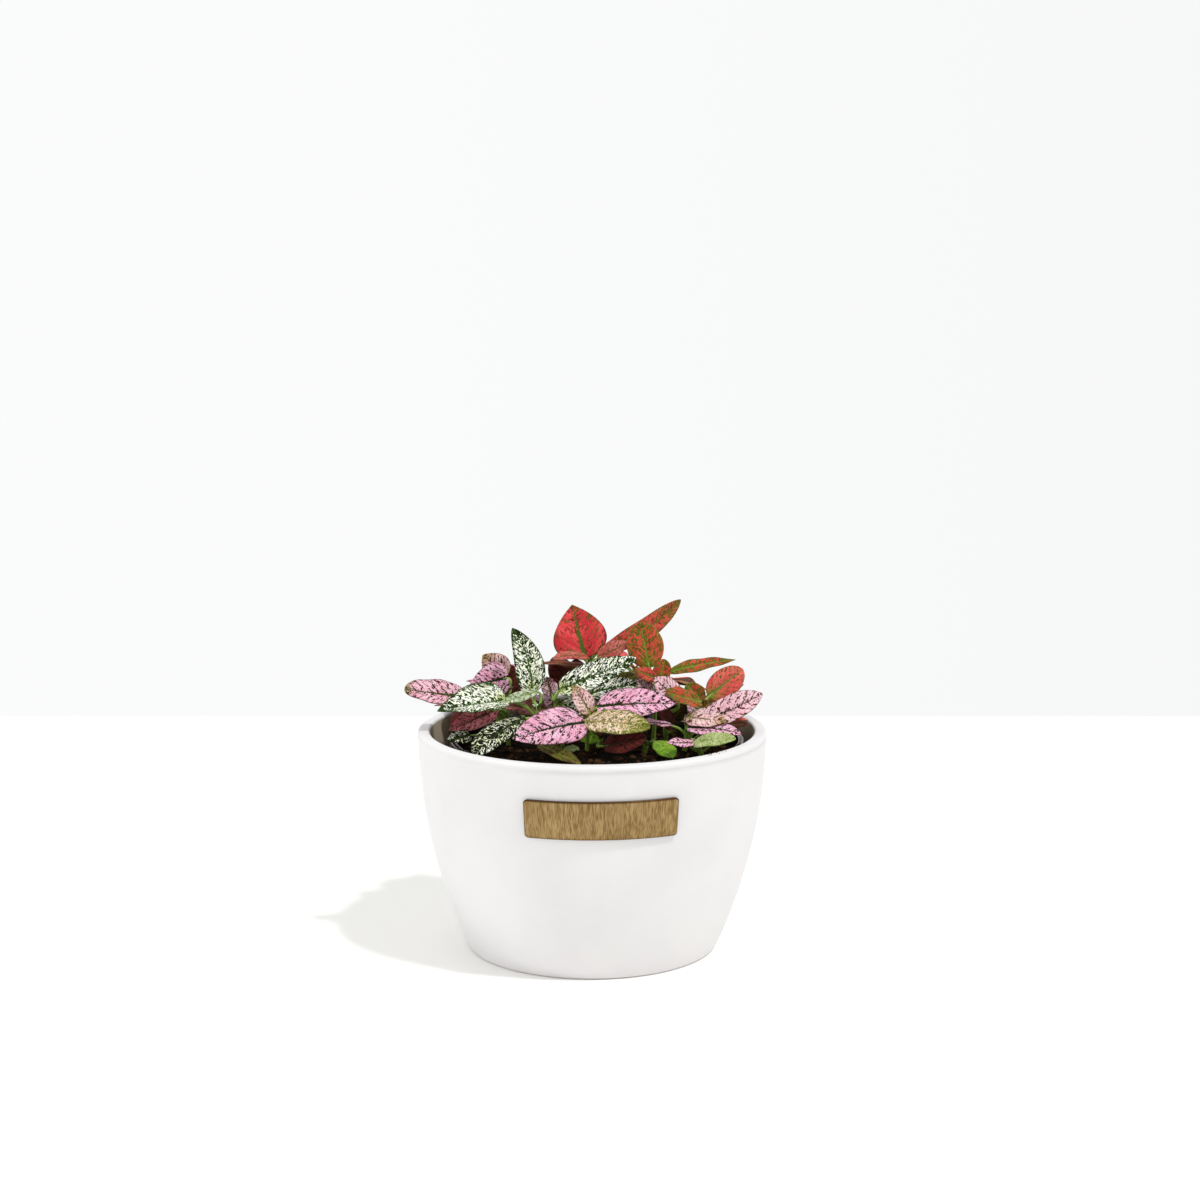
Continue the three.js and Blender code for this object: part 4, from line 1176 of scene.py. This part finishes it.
def smooth_path(points, steps):
    """A Catmull-Rom curve through the points."""
    points = [2 * points[0] - points[1], *points, 2 * points[-1] - points[-2]]
    path = []
    spans = len(points) - 3
    for i in range(steps + 1):
        place = min(i / steps * spans, spans - 1e-6)
        k = int(place)
        t = place - k
        a, b, c, d = points[k:k + 4]
        path.append(0.5 * (2 * b + (c - a) * t + (2 * a - 5 * b + 4 * c - d) * t ** 2
                           + (3 * b - a - 3 * c + d) * t ** 3))
    return np.array(path)


def tube(path, radii, sides, low):
    """Points, faces and stalk_place of a round tube along the path, closed at both ends."""
    steps = len(path)
    tangents = np.gradient(path, axis=0)
    tangents /= np.linalg.norm(tangents, axis=1)[:, None]
    reference = np.array([1.0, 0, 0]) if abs(tangents[0][0]) < 0.8 else np.array([0, 1.0, 0])
    points, places = [], []
    run = 0.0
    normal = unit(np.cross(tangents[0], reference))
    for i in range(steps):
        normal = unit(normal - tangents[i] * normal.dot(tangents[i]))
        other = np.cross(tangents[i], normal)
        if i:
            run += np.linalg.norm(path[i] - path[i - 1])
        for k in range(sides):
            angle = 2 * math.pi * k / sides
            squared = 1 + 0.05 * math.cos(4 * angle)
            out = normal * math.cos(angle) + other * math.sin(angle)
            points.append(path[i] + radii[i] * squared * out)
            places.append((3 * math.cos(angle), 3 * math.sin(angle) + 0.25 * run, low[i]))
    faces = []
    for i in range(steps - 1):
        for k in range(sides):
            after = (k + 1) % sides
            low_ring, high_ring = i * sides, (i + 1) * sides
            faces.append((low_ring + k, low_ring + after, high_ring + after, high_ring + k))
    faces.append(tuple(range(sides - 1, -1, -1)))
    faces.append(tuple((steps - 1) * sides + k for k in range(sides)))
    return points, faces, places


def make_stalks(name, stem):
    """The stem out of its hole, swollen where leaves join, and a stalk to each blade."""
    foot_x, foot_y = stem.foot
    top = np.array(stem.top, dtype=float)
    middle = np.array([(foot_x + top[0]) / 2, (foot_y + top[1]) / 2, (SOIL_TOP + top[2]) / 2 + 1])
    heights = (SOIL_TOP - STEM_ROOT, SOIL_TOP + 1)
    root = [np.array([foot_x, foot_y, height]) for height in heights]
    path = smooth_path([*root, middle, top], STEM_STEPS)
    starts = []
    for leaf in stem.leaves:
        base = np.array(leaf.base, dtype=float)
        reach = math.hypot(base[0] - top[0], base[1] - top[1])
        height = max(SOIL_TOP + JOIN_OVER_SOIL, base[2] - PETIOLE_FALL * reach - JOIN_DROP)
        height = min(top[2] - JOIN_UNDER_TOP, height)
        starts.append(path[np.argmin(np.abs(path[:, 2] - height))])
    share = np.linspace(0, 1, len(path))
    radii = STEM_RADIUS * (1 - 0.3 * share)
    for start in starts:
        radii = radii + 0.22 * np.exp(-(((path[:, 2] - start[2]) / 1.3) ** 2))
    radii = np.minimum(radii, STEM_RADIUS * 1.15)
    radii[-1] *= 0.6
    points, faces, places = tube(path, radii, STEM_SIDES, 1 - share)
    for leaf, start in zip(stem.leaves, starts):
        base, along, face, _, length = blade_axes(leaf)
        knee = base - along * PETIOLE_KNEE * np.linalg.norm(start - base)
        into = base + along * min(2.5, 0.2 * length) - face * 0.3
        t = np.linspace(0, 1, PETIOLE_STEPS + 1)[:, None]
        curve = start * (1 - t) ** 2 + knee * 2 * t * (1 - t) + into * t ** 2
        slim = 0.55 + 0.45 * min(1.0, leaf.width / 12)
        petiole_radii = PETIOLE_RADIUS * slim * (1 - 0.5 * t[:, 0] ** 2)
        petiole_radii[0] *= 1.25
        flush = 0.35 * (1 - t[:, 0])
        more, more_faces, more_places = tube(curve, petiole_radii, PETIOLE_SIDES, flush)
        faces += [tuple(len(points) + i for i in face_points) for face_points in more_faces]
        points += more
        places += more_places
    piece = new_piece(f"{name}_stalks", np.array(points), faces, [STALK])
    give_vectors(piece, "stalk_place", places)
    settle(piece, "green_leaf", name)


# Stage.


def make_camera():
    """Where the photograph was taken from: level with the leaves' tips, looking a little down."""
    camera = bpy.data.objects.new("camera", bpy.data.cameras.new("camera"))
    camera.data.lens = CAMERA_LENS
    camera.data.sensor_width = CAMERA_SENSOR
    camera.data.clip_start = 0.05
    camera.data.clip_end = 60
    camera.location = Vector(CAMERA_PLACE) * MM
    camera.rotation_euler = (math.radians(90 - CAMERA_DOWN), 0, 0)
    bpy.context.scene.collection.objects.link(camera)
    bpy.context.scene.camera = camera


def make_floor():
    """A pale table top that ends a little behind the pot."""
    side, front, back = FLOOR_REACH, -FLOOR_REACH, FLOOR_BACK
    points = [(-side, front, 0), (side, front, 0), (side, back, 0), (-side, back, 0)]
    tree = Skin("pale_floor")
    cloud = tree.noise(tree.place(), 14, 4)
    material = tree.finish(tree.mix(cloud, (249, 248, 245), (251, 250, 248)), 0.8)
    floor = new_piece("floor", points, [(0, 1, 2, 3)], [material])


def make_light():
    """Soft light all round, paler behind, a key light high on the right a little to the front,
    and a weak broad fill from the left."""
    world = bpy.data.worlds.new("studio")
    bpy.context.scene.world = world
    world.use_nodes = True
    sky = Tree(world.node_tree)
    x, y, _ = sky.place("Generated").parts()
    near, far = WORLD_SPAN
    inputs = {0: y, 1: near, 2: far, 3: WORLD_FRONT, 4: WORLD_BEHIND}
    behind = sky.made("ShaderNodeMapRange", inputs)[0]
    background = world.node_tree.nodes["Background"]
    sky.feed(background.inputs["Strength"], x * -WORLD_LEAN + behind)
    background.inputs["Color"].default_value = (0.99, 1.0, 0.995, 1.0)
    add_light("key_light", KEY_TOWARD, KEY_STRENGTH, KEY_SPREAD)
    add_light("left_fill", FILL_TOWARD, FILL_STRENGTH, FILL_SPREAD)
    bpy.context.scene.view_settings.view_transform = "Standard"


def add_light(name, toward, strength, spread):
    """A far lamp in that direction, which fills an angle of so many degrees of the sky."""
    lamp = bpy.data.objects.new(name, bpy.data.lights.new(name, "SUN"))
    lamp.data.energy = strength
    lamp.data.angle = math.radians(spread)
    lamp.rotation_euler = Vector(toward).to_track_quat("Z", "Y").to_euler()
    bpy.context.scene.collection.objects.link(lamp)


MATERIALS = {
    name: (upper_material(name, look), under_material(name, look)) for name, look in LOOKS.items()
}
STALK = stalk_material()

make_camera()
make_planter()
make_brass_plate()
make_grow_pot()
make_soil()
for number, (node, stem) in enumerate(LEAFY_STEMS.items()):
    make_blades(node, stem, number, f"{node.split('_')[0]}_leaf")
    make_stalks(node, stem)
make_floor()
make_light()
